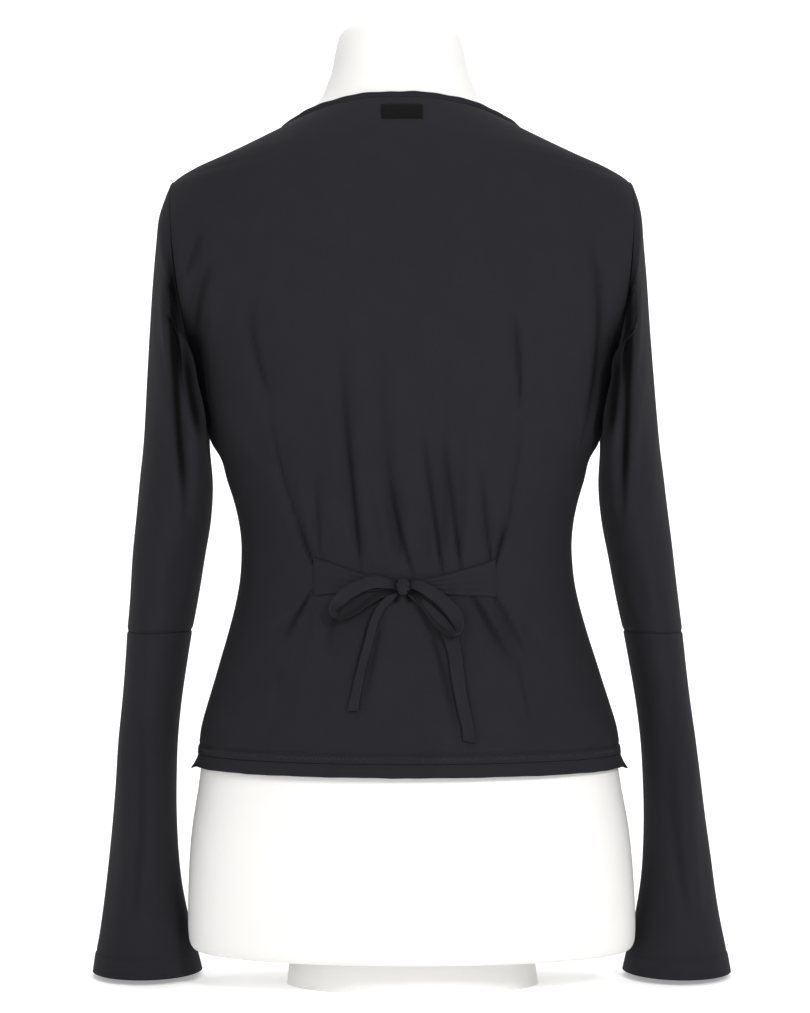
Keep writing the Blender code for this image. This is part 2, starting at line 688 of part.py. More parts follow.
def build_button(name, height, finish):
    """A small dished button on the upper front's edge."""
    point, normal = surface_place(0.0, height, False)
    seat = standing(point + normal * (LAP_LIFT + REST_GAP / MM))
    profile = [(0.0, 0.0), (BUTTON_RADIUS - 0.6, 0.0), (BUTTON_RADIUS, 0.8),
               (BUTTON_RADIUS - 0.4, BUTTON_THICKNESS), (BUTTON_RADIUS - BUTTON_RIM, BUTTON_THICKNESS),
               (BUTTON_RADIUS - BUTTON_RIM - 0.6, BUTTON_THICKNESS - BUTTON_HOLLOW),
               (0.0, BUTTON_THICKNESS - BUTTON_HOLLOW)]
    across = Vector((1.0, 0.0, 0.0))
    up = normal.cross(across).normalized()
    points = [seat, seat + normal * profile[-1][1] * MM]
    for radius, rise in profile[1:-1]:
        for k in range(BUTTON_SIDES):
            angle = 2 * pi * k / BUTTON_SIDES
            points.append(seat + (across * cos(angle) + up * sin(angle)) * radius * MM
                          + normal * rise * MM)
    last = len(profile) - 3
    faces = []
    for k in range(BUTTON_SIDES):
        nxt = (k + 1) % BUTTON_SIDES
        faces.append((0, 2 + k, 2 + nxt))
        faces.append((1, 2 + last * BUTTON_SIDES + k, 2 + last * BUTTON_SIDES + nxt))
        for ring in range(last):
            a, b = 2 + ring * BUTTON_SIDES + k, 2 + ring * BUTTON_SIDES + nxt
            faces.append((a, b, b + BUTTON_SIDES, a + BUTTON_SIDES))
    return add_object(name, points, faces, finish)


def form_ring(section):
    """A closed ring of the form: the back from -X to +X, then the front from +X to -X."""
    inset = 0.0 if section.edge_y < 1.0 else ARMHOLE_INSET
    wide = section._replace(edge_x=section.edge_x - inset, edge_y=max(section.edge_y - inset, 4.0))
    shares = [-1.0 + 2.0 * j / FORM_COLUMNS for j in range(FORM_COLUMNS + 1)]
    ring = [standing(section_point(wide, share, True)) for share in shares]
    return ring + [standing(section_point(wide, -share, False)) for share in shares]


def build_form(finish):
    """The dress form: foot, hips, body and neck in one smooth solid."""
    covered = [form_ring(section) for section in BODY]
    normals = grid_normals(covered, True, axis_middles(covered))
    half = FORM_COLUMNS + 1
    inside = []
    for index in range(len(BODY)):
        ring = []
        gap = FORM_GAP if index < TIP_ROW else SHOULDER_GAP
        for j, (point, normal) in enumerate(zip(covered[index], normals[index])):
            middle = 1.0 - abs(2.0 * (j % half) / FORM_COLUMNS - 1.0)
            ease = BACK_EASE if j < half else FRONT_EASE
            depth = WALL + gap + ease * min(1.0, 1.8 * middle)
            ring.append(point - normal * depth)
        inside.append(ring)
    below = [FOOT_SOLE, FOOT_TOP, UNDERSIDE] + HIP
    rings = [form_ring(level_section(level)) for level in below] + inside
    rings += [form_ring(shoulder_section(row)) for row in NECK]
    return add_loft("dress_form", rings, finish)


def clear_scene():
    """Remove every object that the scene starts with."""
    for item in list(bpy.data.objects):
        bpy.data.objects.remove(item, do_unlink=True)


def build_cardigan():
    """All pieces of the garment and the form that carries it."""
    jersey = material("jersey", JERSEY, 0.85)
    white = material("form_white", FORM_WHITE, 0.6)
    horn = material("button_dark", HORN, 0.4)
    label = material("label_black", LABEL_BLACK, 0.7)

    build_form(white)
    build_back(jersey)
    build_front("front_left", -1, jersey)
    build_front("front_right", 1, jersey)
    build_hem_strip(jersey)
    build_neck_strip(jersey)
    for side_name, side in (("left", -1), ("right", 1)):
        upper = [sleeve_ring(row, side) for row in UPPER_SLEEVE] + [armhole_ring(side)]
        build_sleeve("sleeve_upper_" + side_name, upper, jersey, set_in=True)
        lower = [sleeve_ring(row, side) for row in LOWER_SLEEVE]
        build_sleeve("sleeve_lower_" + side_name, lower, jersey)
    build_tie("tie_left", TIE_LEFT, jersey)
    build_tie("tie_right", TIE_RIGHT, jersey)
    build_knot(jersey)
    build_band("bow_tail_left", TAIL_LEFT, TAIL_LEFT_WIDTH, jersey)
    build_band("bow_tail_right", TAIL_RIGHT, TAIL_RIGHT_WIDTH, jersey)
    build_band("bow_loop_left", LOOP_LEFT, LOOP_WIDTH, jersey)
    build_band("bow_loop_right", LOOP_RIGHT, LOOP_WIDTH, jersey)
    build_label(label)
    for index in range(BUTTON_COUNT):
        share = index / (BUTTON_COUNT - 1)
        height = BUTTON_LOWEST + (BUTTON_HIGHEST - BUTTON_LOWEST) * share
        build_button(f"button_{index + 1}", height, horn)


clear_scene()
build_cardigan()
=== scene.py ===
"""The looks of a fitted jersey cardigan on a limbless dress form, seen from behind."""

from collections import namedtuple

import bpy
import numpy as np
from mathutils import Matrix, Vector


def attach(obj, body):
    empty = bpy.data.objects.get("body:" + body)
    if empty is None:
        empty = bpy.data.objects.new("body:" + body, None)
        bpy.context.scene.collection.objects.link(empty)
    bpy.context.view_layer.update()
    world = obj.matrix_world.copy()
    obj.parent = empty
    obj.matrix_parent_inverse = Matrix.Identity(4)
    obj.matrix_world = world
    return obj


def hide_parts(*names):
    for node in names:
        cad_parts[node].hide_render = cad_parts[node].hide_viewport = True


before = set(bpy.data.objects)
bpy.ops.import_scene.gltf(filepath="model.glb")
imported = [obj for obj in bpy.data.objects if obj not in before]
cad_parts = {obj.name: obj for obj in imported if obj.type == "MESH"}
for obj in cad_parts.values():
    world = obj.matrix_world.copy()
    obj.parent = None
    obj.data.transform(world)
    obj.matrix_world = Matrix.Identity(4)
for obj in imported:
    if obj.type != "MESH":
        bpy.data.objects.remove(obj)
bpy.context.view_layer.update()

# Camera, floor and light
# The camera stands behind the garment at the height of its waist. The floor runs up into a
# pale wall, and large soft lamps hang in front of the garment's back, above it and beside it.
MM = 0.001
VIEW_HEIGHT = 0.7901
VIEW_DISTANCE = 2.5
EYE = Vector((-0.0059, -VIEW_DISTANCE, 0.396))
LOOK_AT = Vector((-0.0059, 0.0, 0.3714))
SENSOR_HEIGHT = 24.0
FLOOR_COLOUR = (0.93, 0.93, 0.93)
WALL_DISTANCE, WALL_HEIGHT, BEND_RADIUS, FLOOR_HALF_WIDTH = 2.4, 3.2, 0.9, 4.0
Lamp = namedtuple("Lamp", "name place size power")
LAMPS = [
    Lamp("lamp_key", (1.3, -2.6, 1.7), 0.5, 43.0),
    Lamp("lamp_front", (-0.9, -3.2, 0.9), 2.6, 40.0),
    Lamp("lamp_left", (-2.6, -1.4, 1.0), 1.4, 6.0),
    Lamp("lamp_right", (2.6, -1.4, 1.0), 1.4, 6.0),
    Lamp("lamp_top", (0.0, -0.9, 3.0), 2.0, 14.0),
    Lamp("lamp_wall", (0.0, 0.9, 2.6), 2.4, 30.0),
]
WORLD_LIGHT = 0.36
FLOOR_GLOW = 0.30


class Socket:
    """A node's output that can be used in arithmetic; each operator adds a Math node."""

    def __init__(self, tree, output):
        self.tree = tree
        self.output = output

    def _maths(self, operation, first, second):
        return add_node(self.tree, "ShaderNodeMath", {"operation": operation}, {0: first, 1: second})

    def __add__(self, other):
        return self._maths("ADD", self, other)

    __radd__ = __add__

    def __sub__(self, other):
        return self._maths("SUBTRACT", self, other)

    def __rsub__(self, other):
        return self._maths("SUBTRACT", other, self)

    def __mul__(self, other):
        return self._maths("MULTIPLY", self, other)

    __rmul__ = __mul__

    def __pow__(self, other):
        return self._maths("POWER", self, other)


def add_node(tree, kind, settings=None, inputs=None, output=0):
    """Add a node with its settings, then its sockets' values or links; give one output."""
    node = tree.nodes.new(kind)
    for name, value in (settings or {}).items():
        setattr(node, name, value)
    for name, value in (inputs or {}).items():
        if isinstance(value, Socket):
            tree.links.new(value.output, node.inputs[name])
        else:
            node.inputs[name].default_value = value
    return Socket(tree, node.outputs[output])


def new_material(name, colour, roughness, sheen=0.0):
    """A Principled material; gives the material, its tree and its shader."""
    finish = bpy.data.materials.new(name)
    finish.use_nodes = True
    tree = finish.node_tree
    shader = tree.nodes["Principled BSDF"]
    shader.inputs["Base Color"].default_value = (*colour, 1.0)
    shader.inputs["Roughness"].default_value = roughness
    shader.inputs["Sheen Weight"].default_value = sheen
    shader.inputs["Sheen Roughness"].default_value = 0.5
    return finish, tree, shader


def build_stage():
    """The floor with a bend up into the wall behind."""
    steps = 16
    profile = [(-4.5, 0.0), (WALL_DISTANCE - BEND_RADIUS, 0.0)]
    for k in range(1, steps + 1):
        angle = np.pi / 2 * k / steps
        profile.append((WALL_DISTANCE - BEND_RADIUS + BEND_RADIUS * np.sin(angle),
                        BEND_RADIUS * (1.0 - np.cos(angle))))
    profile.append((WALL_DISTANCE, WALL_HEIGHT))
    points = [(side * FLOOR_HALF_WIDTH, y, z) for y, z in profile for side in (-1, 1)]
    faces = [(2 * k, 2 * k + 1, 2 * k + 3, 2 * k + 2) for k in range(len(profile) - 1)]
    mesh = bpy.data.meshes.new("floor")
    mesh.from_pydata(points, [], faces)
    mesh.shade_smooth()
    floor = bpy.data.objects.new("floor", mesh)
    bpy.context.scene.collection.objects.link(floor)
    finish, _, shader = new_material("floor_paint", FLOOR_COLOUR, 0.9)
    shader.inputs["Emission Color"].default_value = (1.0, 1.0, 1.0, 1.0)
    shader.inputs["Emission Strength"].default_value = FLOOR_GLOW
    mesh.materials.append(finish)


def build_camera_and_lamps():
    """The camera at the photograph's angle, the lamps and the even light of the room."""
    data = bpy.data.cameras.new("camera")
    data.sensor_fit = "VERTICAL"
    data.sensor_height = SENSOR_HEIGHT
    data.lens = SENSOR_HEIGHT * VIEW_DISTANCE / VIEW_HEIGHT
    camera = bpy.data.objects.new("camera", data)
    camera.location = EYE
    camera.rotation_euler = (LOOK_AT - EYE).to_track_quat("-Z", "Y").to_euler()
    bpy.context.scene.collection.objects.link(camera)
    bpy.context.scene.camera = camera
    for lamp in LAMPS:
        light = bpy.data.lights.new(lamp.name, "AREA")
        light.size = lamp.size
        light.energy = lamp.power
        item = bpy.data.objects.new(lamp.name, light)
        item.location = lamp.place
        aim = Vector((0.0, 0.0, 0.4)) - Vector(lamp.place)
        item.rotation_euler = aim.to_track_quat("-Z", "Y").to_euler()
        bpy.context.scene.collection.objects.link(item)
    world = bpy.data.worlds.new("room")
    world.use_nodes = True
    world.node_tree.nodes["Background"].inputs["Color"].default_value = (1.0, 1.0, 1.0, 1.0)
    world.node_tree.nodes["Background"].inputs["Strength"].default_value = WORLD_LIGHT
    bpy.context.scene.world = world
    bpy.context.scene.view_settings.view_transform = "Standard"


build_stage()
build_camera_and_lamps()

# The dress form
# A hard hollow body under a smooth white stretch cover, with a neck and a flat foot. Its
# surface lies a little inside the garment; the same sections carry both of them.
LEAN = -0.0138
WALL = 1.2
SEAM = 0.15
FORM_GAP, SHOULDER_GAP = 3.0, 1.2
BACK_EASE, FRONT_EASE, ARMHOLE_INSET = 5.0, 2.0, 1.6
FORM_WHITE = (0.76, 0.75, 0.735)
Level = namedtuple("Level", "height half_width back front")
LEVELS = [
    Level(180.0, 164.6, 110.0, 104.0),
    Level(200.0, 162.0, 107.6, 102.0),
    Level(220.0, 156.2, 104.5, 99.5),
    Level(236.0, 151.2, 101.3, 97.0),
    Level(252.0, 146.4, 98.0, 94.6),
    Level(267.0, 141.8, 94.6, 92.5),
    Level(283.0, 137.2, 91.0, 90.6),
    Level(298.0, 133.4, 88.0, 89.5),
    Level(314.0, 130.4, 85.6, 89.0),
    Level(330.0, 129.0, 84.5, 89.7),
    Level(345.0, 128.9, 84.6, 91.6),
    Level(361.0, 130.8, 86.0, 95.2),
    Level(377.0, 134.5, 88.3, 100.3),
    Level(392.0, 139.2, 91.0, 106.3),
    Level(408.0, 143.4, 93.6, 113.0),
    Level(423.0, 151.8, 95.8, 119.2),
    Level(446.0, 157.6, 98.8, 128.0),
    Level(468.0, 160.4, 101.2, 134.0),
    Level(489.3, 162.4, 103.0, 137.0),
]
Armhole = namedtuple("Armhole", "back back_height front front_height turn")
ARMHOLE = [
    Armhole(103.6, 495.2, 137.0, 494.4, 84.0),
    Armhole(104.7, 511.5, 136.2, 508.6, 76.0),
    Armhole(105.4, 535.5, 133.6, 529.5, 70.0),
    Armhole(104.8, 564.5, 128.6, 554.0, 67.0),
    Armhole(102.0, 594.0, 121.5, 576.0, 68.0),
    Armhole(98.0, 619.5, 112.5, 592.0, 72.0),
    Armhole(94.0, 638.0, 105.5, 601.0, 80.0),
    Armhole(90.5, 648.0, 101.0, 607.0, 88.0),
]
Shoulder = namedtuple("Shoulder", "edge_x edge_height back back_height front front_height rise")
SHOULDER = [
    Shoulder(163.0, 632.5, 85.5, 656.5, 92.0, 616.0, 1.7),
    Shoulder(147.0, 639.3, 79.5, 664.0, 84.0, 624.0, 1.8),
    Shoulder(130.0, 646.6, 73.0, 671.0, 76.0, 631.0, 2.0),
    Shoulder(112.0, 654.6, 66.0, 677.6, 67.5, 638.0, 2.2),
    Shoulder(96.0, 661.6, 58.5, 683.6, 59.0, 645.0, 2.4),
]
HIP = [
    Level(0.0, 98.0, 64.0, 64.0),
    Level(24.6, 95.0, 62.0, 62.0),
    Level(25.0, 160.0, 84.0, 83.0),
    Level(26.5, 168.5, 91.0, 90.0),
    Level(31.0, 172.6, 95.5, 94.0),
    Level(40.0, 174.2, 99.0, 97.0),
    Level(60.0, 174.3, 103.5, 100.0),
    Level(90.0, 173.0, 107.0, 102.0),
    Level(120.0, 170.4, 107.6, 102.4),
    Level(150.0, 165.4, 104.8, 100.4),
    Level(166.0, 163.0, 104.4, 100.4),
]
NECK = [
    Shoulder(77.0, 671.6, 52.0, 688.0, 54.0, 660.0, 2.6),
    Shoulder(62.4, 687.6, 50.0, 696.0, 53.6, 682.0, 2.4),
    Shoulder(57.3, 698.8, 49.2, 703.0, 53.0, 697.0, 2.0),
    Shoulder(53.4, 708.8, 49.0, 711.0, 51.5, 708.0, 2.0),
    Shoulder(51.5, 718.0, 48.4, 719.0, 50.4, 718.0, 2.0),
    Shoulder(49.5, 727.5, 47.2, 728.0, 49.0, 727.5, 2.0),
    Shoulder(46.8, 737.0, 44.8, 737.0, 46.4, 737.0, 2.0),
    Shoulder(42.0, 742.8, 40.2, 742.8, 41.6, 742.8, 2.0),
    Shoulder(33.0, 747.6, 31.6, 747.6, 32.7, 747.6, 2.0),
    Shoulder(18.0, 751.0, 17.2, 751.0, 17.8, 751.0, 2.0),
]
ARMHOLE_MID_X, ARMHOLE_RISE_X, ARMHOLE_BOW = 169.7, 7.3, 5.0
ARMHOLE_MID_Z, ARMHOLE_HALF_Z, ARMHOLE_HALF_DEPTH = 556.65, 67.35, 50.0
EDGE_X, EDGE_Y, EDGE_Z, BACK_Y, BACK_Z, FRONT_Y, FRONT_Z, TURN, RISE = range(9)


def level_row(level):
    """A level section's columns."""
    return (level.half_width, SEAM, level.height, level.back, level.height,
            level.front, level.height, 90.0, 2.0)


def armhole_row(step, row):
    """The columns of a section that ends on the armhole's oval."""
    angle = np.pi * (1.0 - step / len(ARMHOLE))
    return (ARMHOLE_MID_X + ARMHOLE_RISE_X * np.cos(angle) + ARMHOLE_BOW * abs(np.sin(angle)),
            max(ARMHOLE_HALF_DEPTH * np.sin(angle), SEAM),
            ARMHOLE_MID_Z + ARMHOLE_HALF_Z * np.cos(angle),
            row.back, row.back_height, row.front, row.front_height, row.turn, 1.6)


def shoulder_row(row):
    """The columns of a section over the shoulder or round the neck."""
    return (row.edge_x, SEAM, row.edge_height, row.back, row.back_height,
            row.front, row.front_height, 90.0, row.rise)


BODY = np.array([level_row(level) for level in LEVELS]
                + [armhole_row(step + 1, row) for step, row in enumerate(ARMHOLE)]
                + [shoulder_row(row) for row in SHOULDER])
UNDERARM_ROW = len(LEVELS) - 1
TIP_ROW = len(LEVELS) + len(ARMHOLE) - 1


def smooth_rows(table, places):
    """Rows between a table's rows, on a smooth curve through all of its columns."""
    places = np.clip(np.asarray(places, float), 0.0, len(table) - 1.0)
    index = np.minimum(places.astype(int), len(table) - 2)
    t = (places - index)[:, None]
    last = len(table) - 1
    p0, p1 = table[np.maximum(index - 1, 0)], table[index]
    p2, p3 = table[index + 1], table[np.minimum(index + 2, last)]
    return (p1 + 0.5 * t * (p2 - p0 + t * (2 * p0 - 5 * p1 + 4 * p2 - p3
                                           + t * (3 * (p1 - p2) + p3 - p0))))


def body_rows(places):
    """The body's sections at places counted in rows."""
    rows = smooth_rows(BODY, places)
    rows[:, EDGE_Y] = np.maximum(rows[:, EDGE_Y], SEAM)
    rows[:, TURN] = np.minimum(rows[:, TURN], 90.0)
    return rows


def section_points(rows, shares, back):
    """Points of sections in mm; shares run from -1 to 1 and may differ from row to row."""
    shares = np.broadcast_to(shares, (len(rows), np.shape(shares)[-1]))
    turn = np.radians(rows[:, TURN])[:, None]
    across = np.sin(shares * turn) / np.sin(turn)
    forward = (np.cos(shares * turn) - np.cos(turn)) / (1.0 - np.cos(turn))
    depth, middle = (BACK_Y, BACK_Z) if back else (FRONT_Y, FRONT_Z)
    x = rows[:, [EDGE_X]] * across
    y = rows[:, [EDGE_Y]] + (rows[:, [depth]] - rows[:, [EDGE_Y]]) * forward
    z = rows[:, [EDGE_Z]] + (rows[:, [middle]] - rows[:, [EDGE_Z]]) * (
        1.0 - np.abs(across) ** rows[:, [RISE]])
    return np.stack((x, -y if back else y, z), axis=-1)


def share_of(rows, x):
    """The share at which each section reaches x, mm."""
    turn = np.radians(rows[:, TURN])
    return np.arcsin(np.clip(x / rows[:, EDGE_X] * np.sin(turn), -1.0, 1.0)) / turn


def body_at(places, x, back):
    """Points of the smooth body at places counted in rows, and at x, mm."""
    rows = body_rows(np.ravel(places))
    shares = share_of(rows, np.ravel(x))[:, None]
    return section_points(rows, shares, back)[:, 0].reshape(np.shape(x) + (3,))


def on_body(x, height, back):
    """Points of the smooth body at x and height, mm, with their outward normals."""
    x, height = np.broadcast_arrays(np.asarray(x, float), np.asarray(height, float))
    low, high = np.zeros(x.shape), np.full(x.shape, len(BODY) - 1.0)
    for _ in range(26):
        middle = (low + high) / 2
        below = body_at(middle, x, back)[..., 2] < height
        low, high = np.where(below, middle, low), np.where(below, high, middle)
    side = body_at(low, x + 0.5, back) - body_at(low, x - 0.5, back)
    up = body_at(low + 0.05, x, back) - body_at(low - 0.05, x, back)
    normals = np.cross(side, up) * (1.0 if back else -1.0)
    return body_at(low, x, back), normals / np.linalg.norm(normals, axis=-1, keepdims=True)


def outward(points, closed=False):
    """Unit normals of a grid of points in mm, away from its axis."""
    if closed:
        along = np.roll(points, -1, axis=1) - np.roll(points, 1, axis=1)
    else:
        along = np.gradient(points, axis=1)
    up = np.gradient(points, axis=0)
    normals = np.cross(along, up)
    normals /= np.maximum(np.linalg.norm(normals, axis=-1, keepdims=True), 1e-9)
    return normals


def standing(points):
    """Points in mm as they stand in the part: in metres, leaning with the form."""
    placed = np.array(points, float) * MM
    placed[..., 0] += LEAN * placed[..., 2]
    return placed


def grid_piece(name, points, finish, closed=False, capped=False, thick=0.0, painted_shade=None):
    """A named piece from a grid of points in mm, with its cloth lengths as a UV map in metres.

    The shade mask says, point by point, how far painted shade darkens the cloth's colour: in deep folds, beside and
    under the bow and in the armpits, where little light gets to it."""
    placed = standing(points)
    rows, columns = placed.shape[:2]
    spans = columns if closed else columns - 1
    faces = [(i * columns + j, i * columns + (j + 1) % columns,
              (i + 1) * columns + (j + 1) % columns, (i + 1) * columns + j)
             for i in range(rows - 1) for j in range(spans)]
    if capped:
        faces.append(tuple(range(columns))[::-1])
        faces.append(tuple((rows - 1) * columns + j for j in range(columns)))
    mesh = bpy.data.meshes.new(name)
    mesh.from_pydata(placed.reshape(-1, 3).tolist(), [], faces)
    steps = np.linalg.norm(np.diff(placed, axis=1, append=placed[:, :1]), axis=-1)
    u = np.concatenate((np.zeros((rows, 1)), np.cumsum(steps, axis=1)), axis=1)
    u -= u[:, [columns // 2]]
    v = np.concatenate(([0.0], np.cumsum(np.linalg.norm(
        np.diff(placed, axis=0), axis=-1).mean(axis=1))))
    uv = mesh.uv_layers.new(name="cloth")
    flat = []
    for i in range(rows - 1):
        for j in range(spans):
            flat += [u[i, j], v[i], u[i, j + 1], v[i], u[i + 1, j + 1], v[i + 1], u[i + 1, j], v[i + 1]]
    if capped:
        flat += [0.0] * (4 * columns)
    uv.data.foreach_set("uv", flat)
    # Painted shade: a per-point mask by which the jersey's colour is darkened towards near black.
    if painted_shade is not None:
        mesh.attributes.new("painted_shade", "FLOAT", "POINT").data.foreach_set("value", np.clip(painted_shade, 0, 1).ravel())
    mesh.materials.append(finish)
    mesh.shade_smooth()
    piece = bpy.data.objects.new(name, mesh)
    bpy.context.scene.collection.objects.link(piece)
    if thick:
        shell = piece.modifiers.new("thickness", "SOLIDIFY")
        shell.thickness = thick * MM
        shell.offset = -1.0
    return piece


def form_material():
    """A white stretch cover: a fine weave, slightly warm, dull."""
    finish, tree, shader = new_material("form_cover", FORM_WHITE, 0.62, 0.15)
    place = add_node(tree, "ShaderNodeTexCoord", output="Object")
    weave = add_node(tree, "ShaderNodeTexNoise", inputs={"Vector": place, "Scale": 700.0, "Detail": 2.0})
    cloud = add_node(tree, "ShaderNodeTexNoise", inputs={"Vector": place, "Scale": 9.0, "Detail": 3.0})
    tone = add_node(tree, "ShaderNodeMix", {"data_type": "RGBA"}, {
        "Factor": cloud * 0.5 + weave * 0.3, "A": (0.73, 0.722, 0.705, 1.0), "B": (0.79, 0.782, 0.765, 1.0)},
        output=2)
    tree.links.new(tone.output, shader.inputs["Base Color"])
    bump = add_node(tree, "ShaderNodeBump", inputs={"Height": weave, "Strength": 0.15, "Distance": 0.0002})
    tree.links.new(bump.output, shader.inputs["Normal"])
    return finish


def form_ring_points(rows, shares):
    """Closed rings: the back from -X to +X, then the front from +X to -X."""
    rows = rows.copy()
    inset = np.where(rows[:, EDGE_Y] < 1.0, 0.0, ARMHOLE_INSET)
    rows[:, EDGE_X] -= inset
    rows[:, EDGE_Y] = np.maximum(rows[:, EDGE_Y] - inset, 2.0)
    back = section_points(rows, shares, True)
    front = section_points(rows, -shares, False)
    return np.concatenate((back, front), axis=1)


def build_form():
    """The whole form as one smooth closed body."""
    shares = np.linspace(-1.0, 1.0, 49)
    places = np.arange(0.0, len(BODY) - 0.99, 0.5)
    covered = form_ring_points(body_rows(places), shares)
    middle = 1.0 - np.abs(shares)
    ease = np.concatenate((BACK_EASE * np.minimum(1.0, 1.8 * middle),
                           FRONT_EASE * np.minimum(1.0, 1.8 * middle)))
    gap = np.where(places < TIP_ROW, FORM_GAP, SHOULDER_GAP)
    depth = WALL + gap[:, None] + ease[None, :]
    inside = covered - outward(covered, closed=True) * depth[..., None]
    hip = np.array([level_row(level) for level in HIP])
    sharp = form_ring_points(hip[:3], shares)
    rounded = form_ring_points(smooth_rows(hip[2:], np.arange(0.25, len(hip) - 2.9, 0.25)), shares)
    neck = np.array([shoulder_row(row) for row in NECK])
    upper = form_ring_points(smooth_rows(neck, np.arange(0.0, len(neck) - 0.9, 0.5)), shares)
    rings = np.concatenate((sharp, rounded, inside, upper))
    form = grid_piece("dress_form_cover", rings, form_material(), closed=True, capped=True)
    form.data.set_sharp_from_angle(angle=np.radians(50))
    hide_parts("dress_form")
    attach(form, "root")


build_form()

# The back
# Cut in one and shaped by two long darts. The tie gathers it at the waist, so soft valleys
# run down the middle to the knot, and a few shorter folds fan out below it.
JERSEY_DARK = (0.0100, 0.0100, 0.0124, 1.0)
JERSEY_LIGHT = (0.0190, 0.0190, 0.0230, 1.0)
WALE = 0.0011
BACK_COLUMNS = 150
BACK_CROWDING = 0.35
Crease = namedtuple("Crease", "far_x far_z mid_x mid_z near_x near_z half_width depth")
BACK_CREASES = [
    Crease(-55, 540, -47, 440, -35, 331, 6.0, 3.6),
    Crease(-40, 470, -36, 410, -27, 331, 5.0, -1.0),
    Crease(-25, 545, -19, 440, -4, 329, 6.5, 3.9),
    Crease(2, 500, 4, 430, 7, 330, 6.0, -0.9),
    Crease(24, 545, 28, 440, 25, 330, 6.0, 3.4),
    Crease(37, 480, 40, 410, 39, 329, 4.5, 3.0),
    Crease(-12, 400, -8, 370, -8, 330, 4.0, 2.0),
    Crease(12, 392, 15, 360, 14, 330, 4.0, 1.6),
    Crease(52, 440, 52, 390, 51, 335, 6.0, -1.0),
    Crease(61, 392, 62, 366, 62, 334, 4.0, 1.8),
    Crease(-68, 400, -70, 372, -69, 338, 4.0, 1.8),
    Crease(-62, 430, -58, 385, -52, 334, 5.5, -1.0),
    Crease(-110, 530, -109, 488, -105, 448, 9.0, 2.0),
    Crease(84, 530, 87, 485, 87.5, 442, 9.0, 2.0),
    Crease(-109, 470, -96, 420, -71, 332, 6.0, 2.0),
    Crease(92, 465, 87, 410, 67, 332, 6.0, 2.0),
    Crease(-108, 186, -88, 264, -72, 306, 6.0, 1.2),
    Crease(92, 186, 83, 262, 67, 306, 6.0, 1.2),
    Crease(84, 238, 64, 276, 49, 305, 4.6, 3.0),
    Crease(92, 252, 76, 280, 62, 304, 3.8, 2.2),
    Crease(116, 246, 100, 266, 88, 286, 5.5, 1.6),
    Crease(-107, 272, -92, 286, -77, 298, 5.0, 1.8),
    Crease(-62, 236, -57, 274, -46, 304, 6.5, 1.4),
    Crease(-24, 250, -22, 280, -20, 304, 6.0, 0.9),
    Crease(22, 232, 18, 270, 14, 303, 7.0, 1.0),
    Crease(-136, 470, -119, 440, -106, 402, 8.0, 1.4),
    Crease(139, 602, 150, 520, 134, 412, 3.6, 4.4),
    Crease(160, 516, 154, 470, 146, 424, 5.0, 2.6),
    Crease(-150, 596, -157, 562, -166, 520, 4.6, 2.6),
    Crease(-146, 566, -158, 520, -150, 426, 5.0, 3.4),
    Crease(-116, 620, -130, 560, -138, 500, 9.0, 1.1),
    Crease(112, 610, 122, 560, 122, 500, 9.0, 1.0),
    Crease(-62, 240, -67, 215, -67, 184, 12.0, -0.8),
    Crease(20, 230, 16, 210, 14, 184, 14.0, 0.8),
    Crease(120, 300, 132, 262, 142, 214, 9.0, 1.0),
    Crease(-120, 340, -132, 300, -144, 240, 10.0, 1.0),
]
DART_SEAMS = [
    Crease(-104, 462, -95.6, 428, -70.5, 334, 1.0, 1.3),
    Crease(87.6, 450, 84, 408, 67.2, 332, 1.0, 1.3),
    Crease(-73, 304, -96, 262, -107, 181, 1.0, 1.0),
    Crease(67, 304, 84, 262, 91.5, 181, 1.0, 1.0),
]
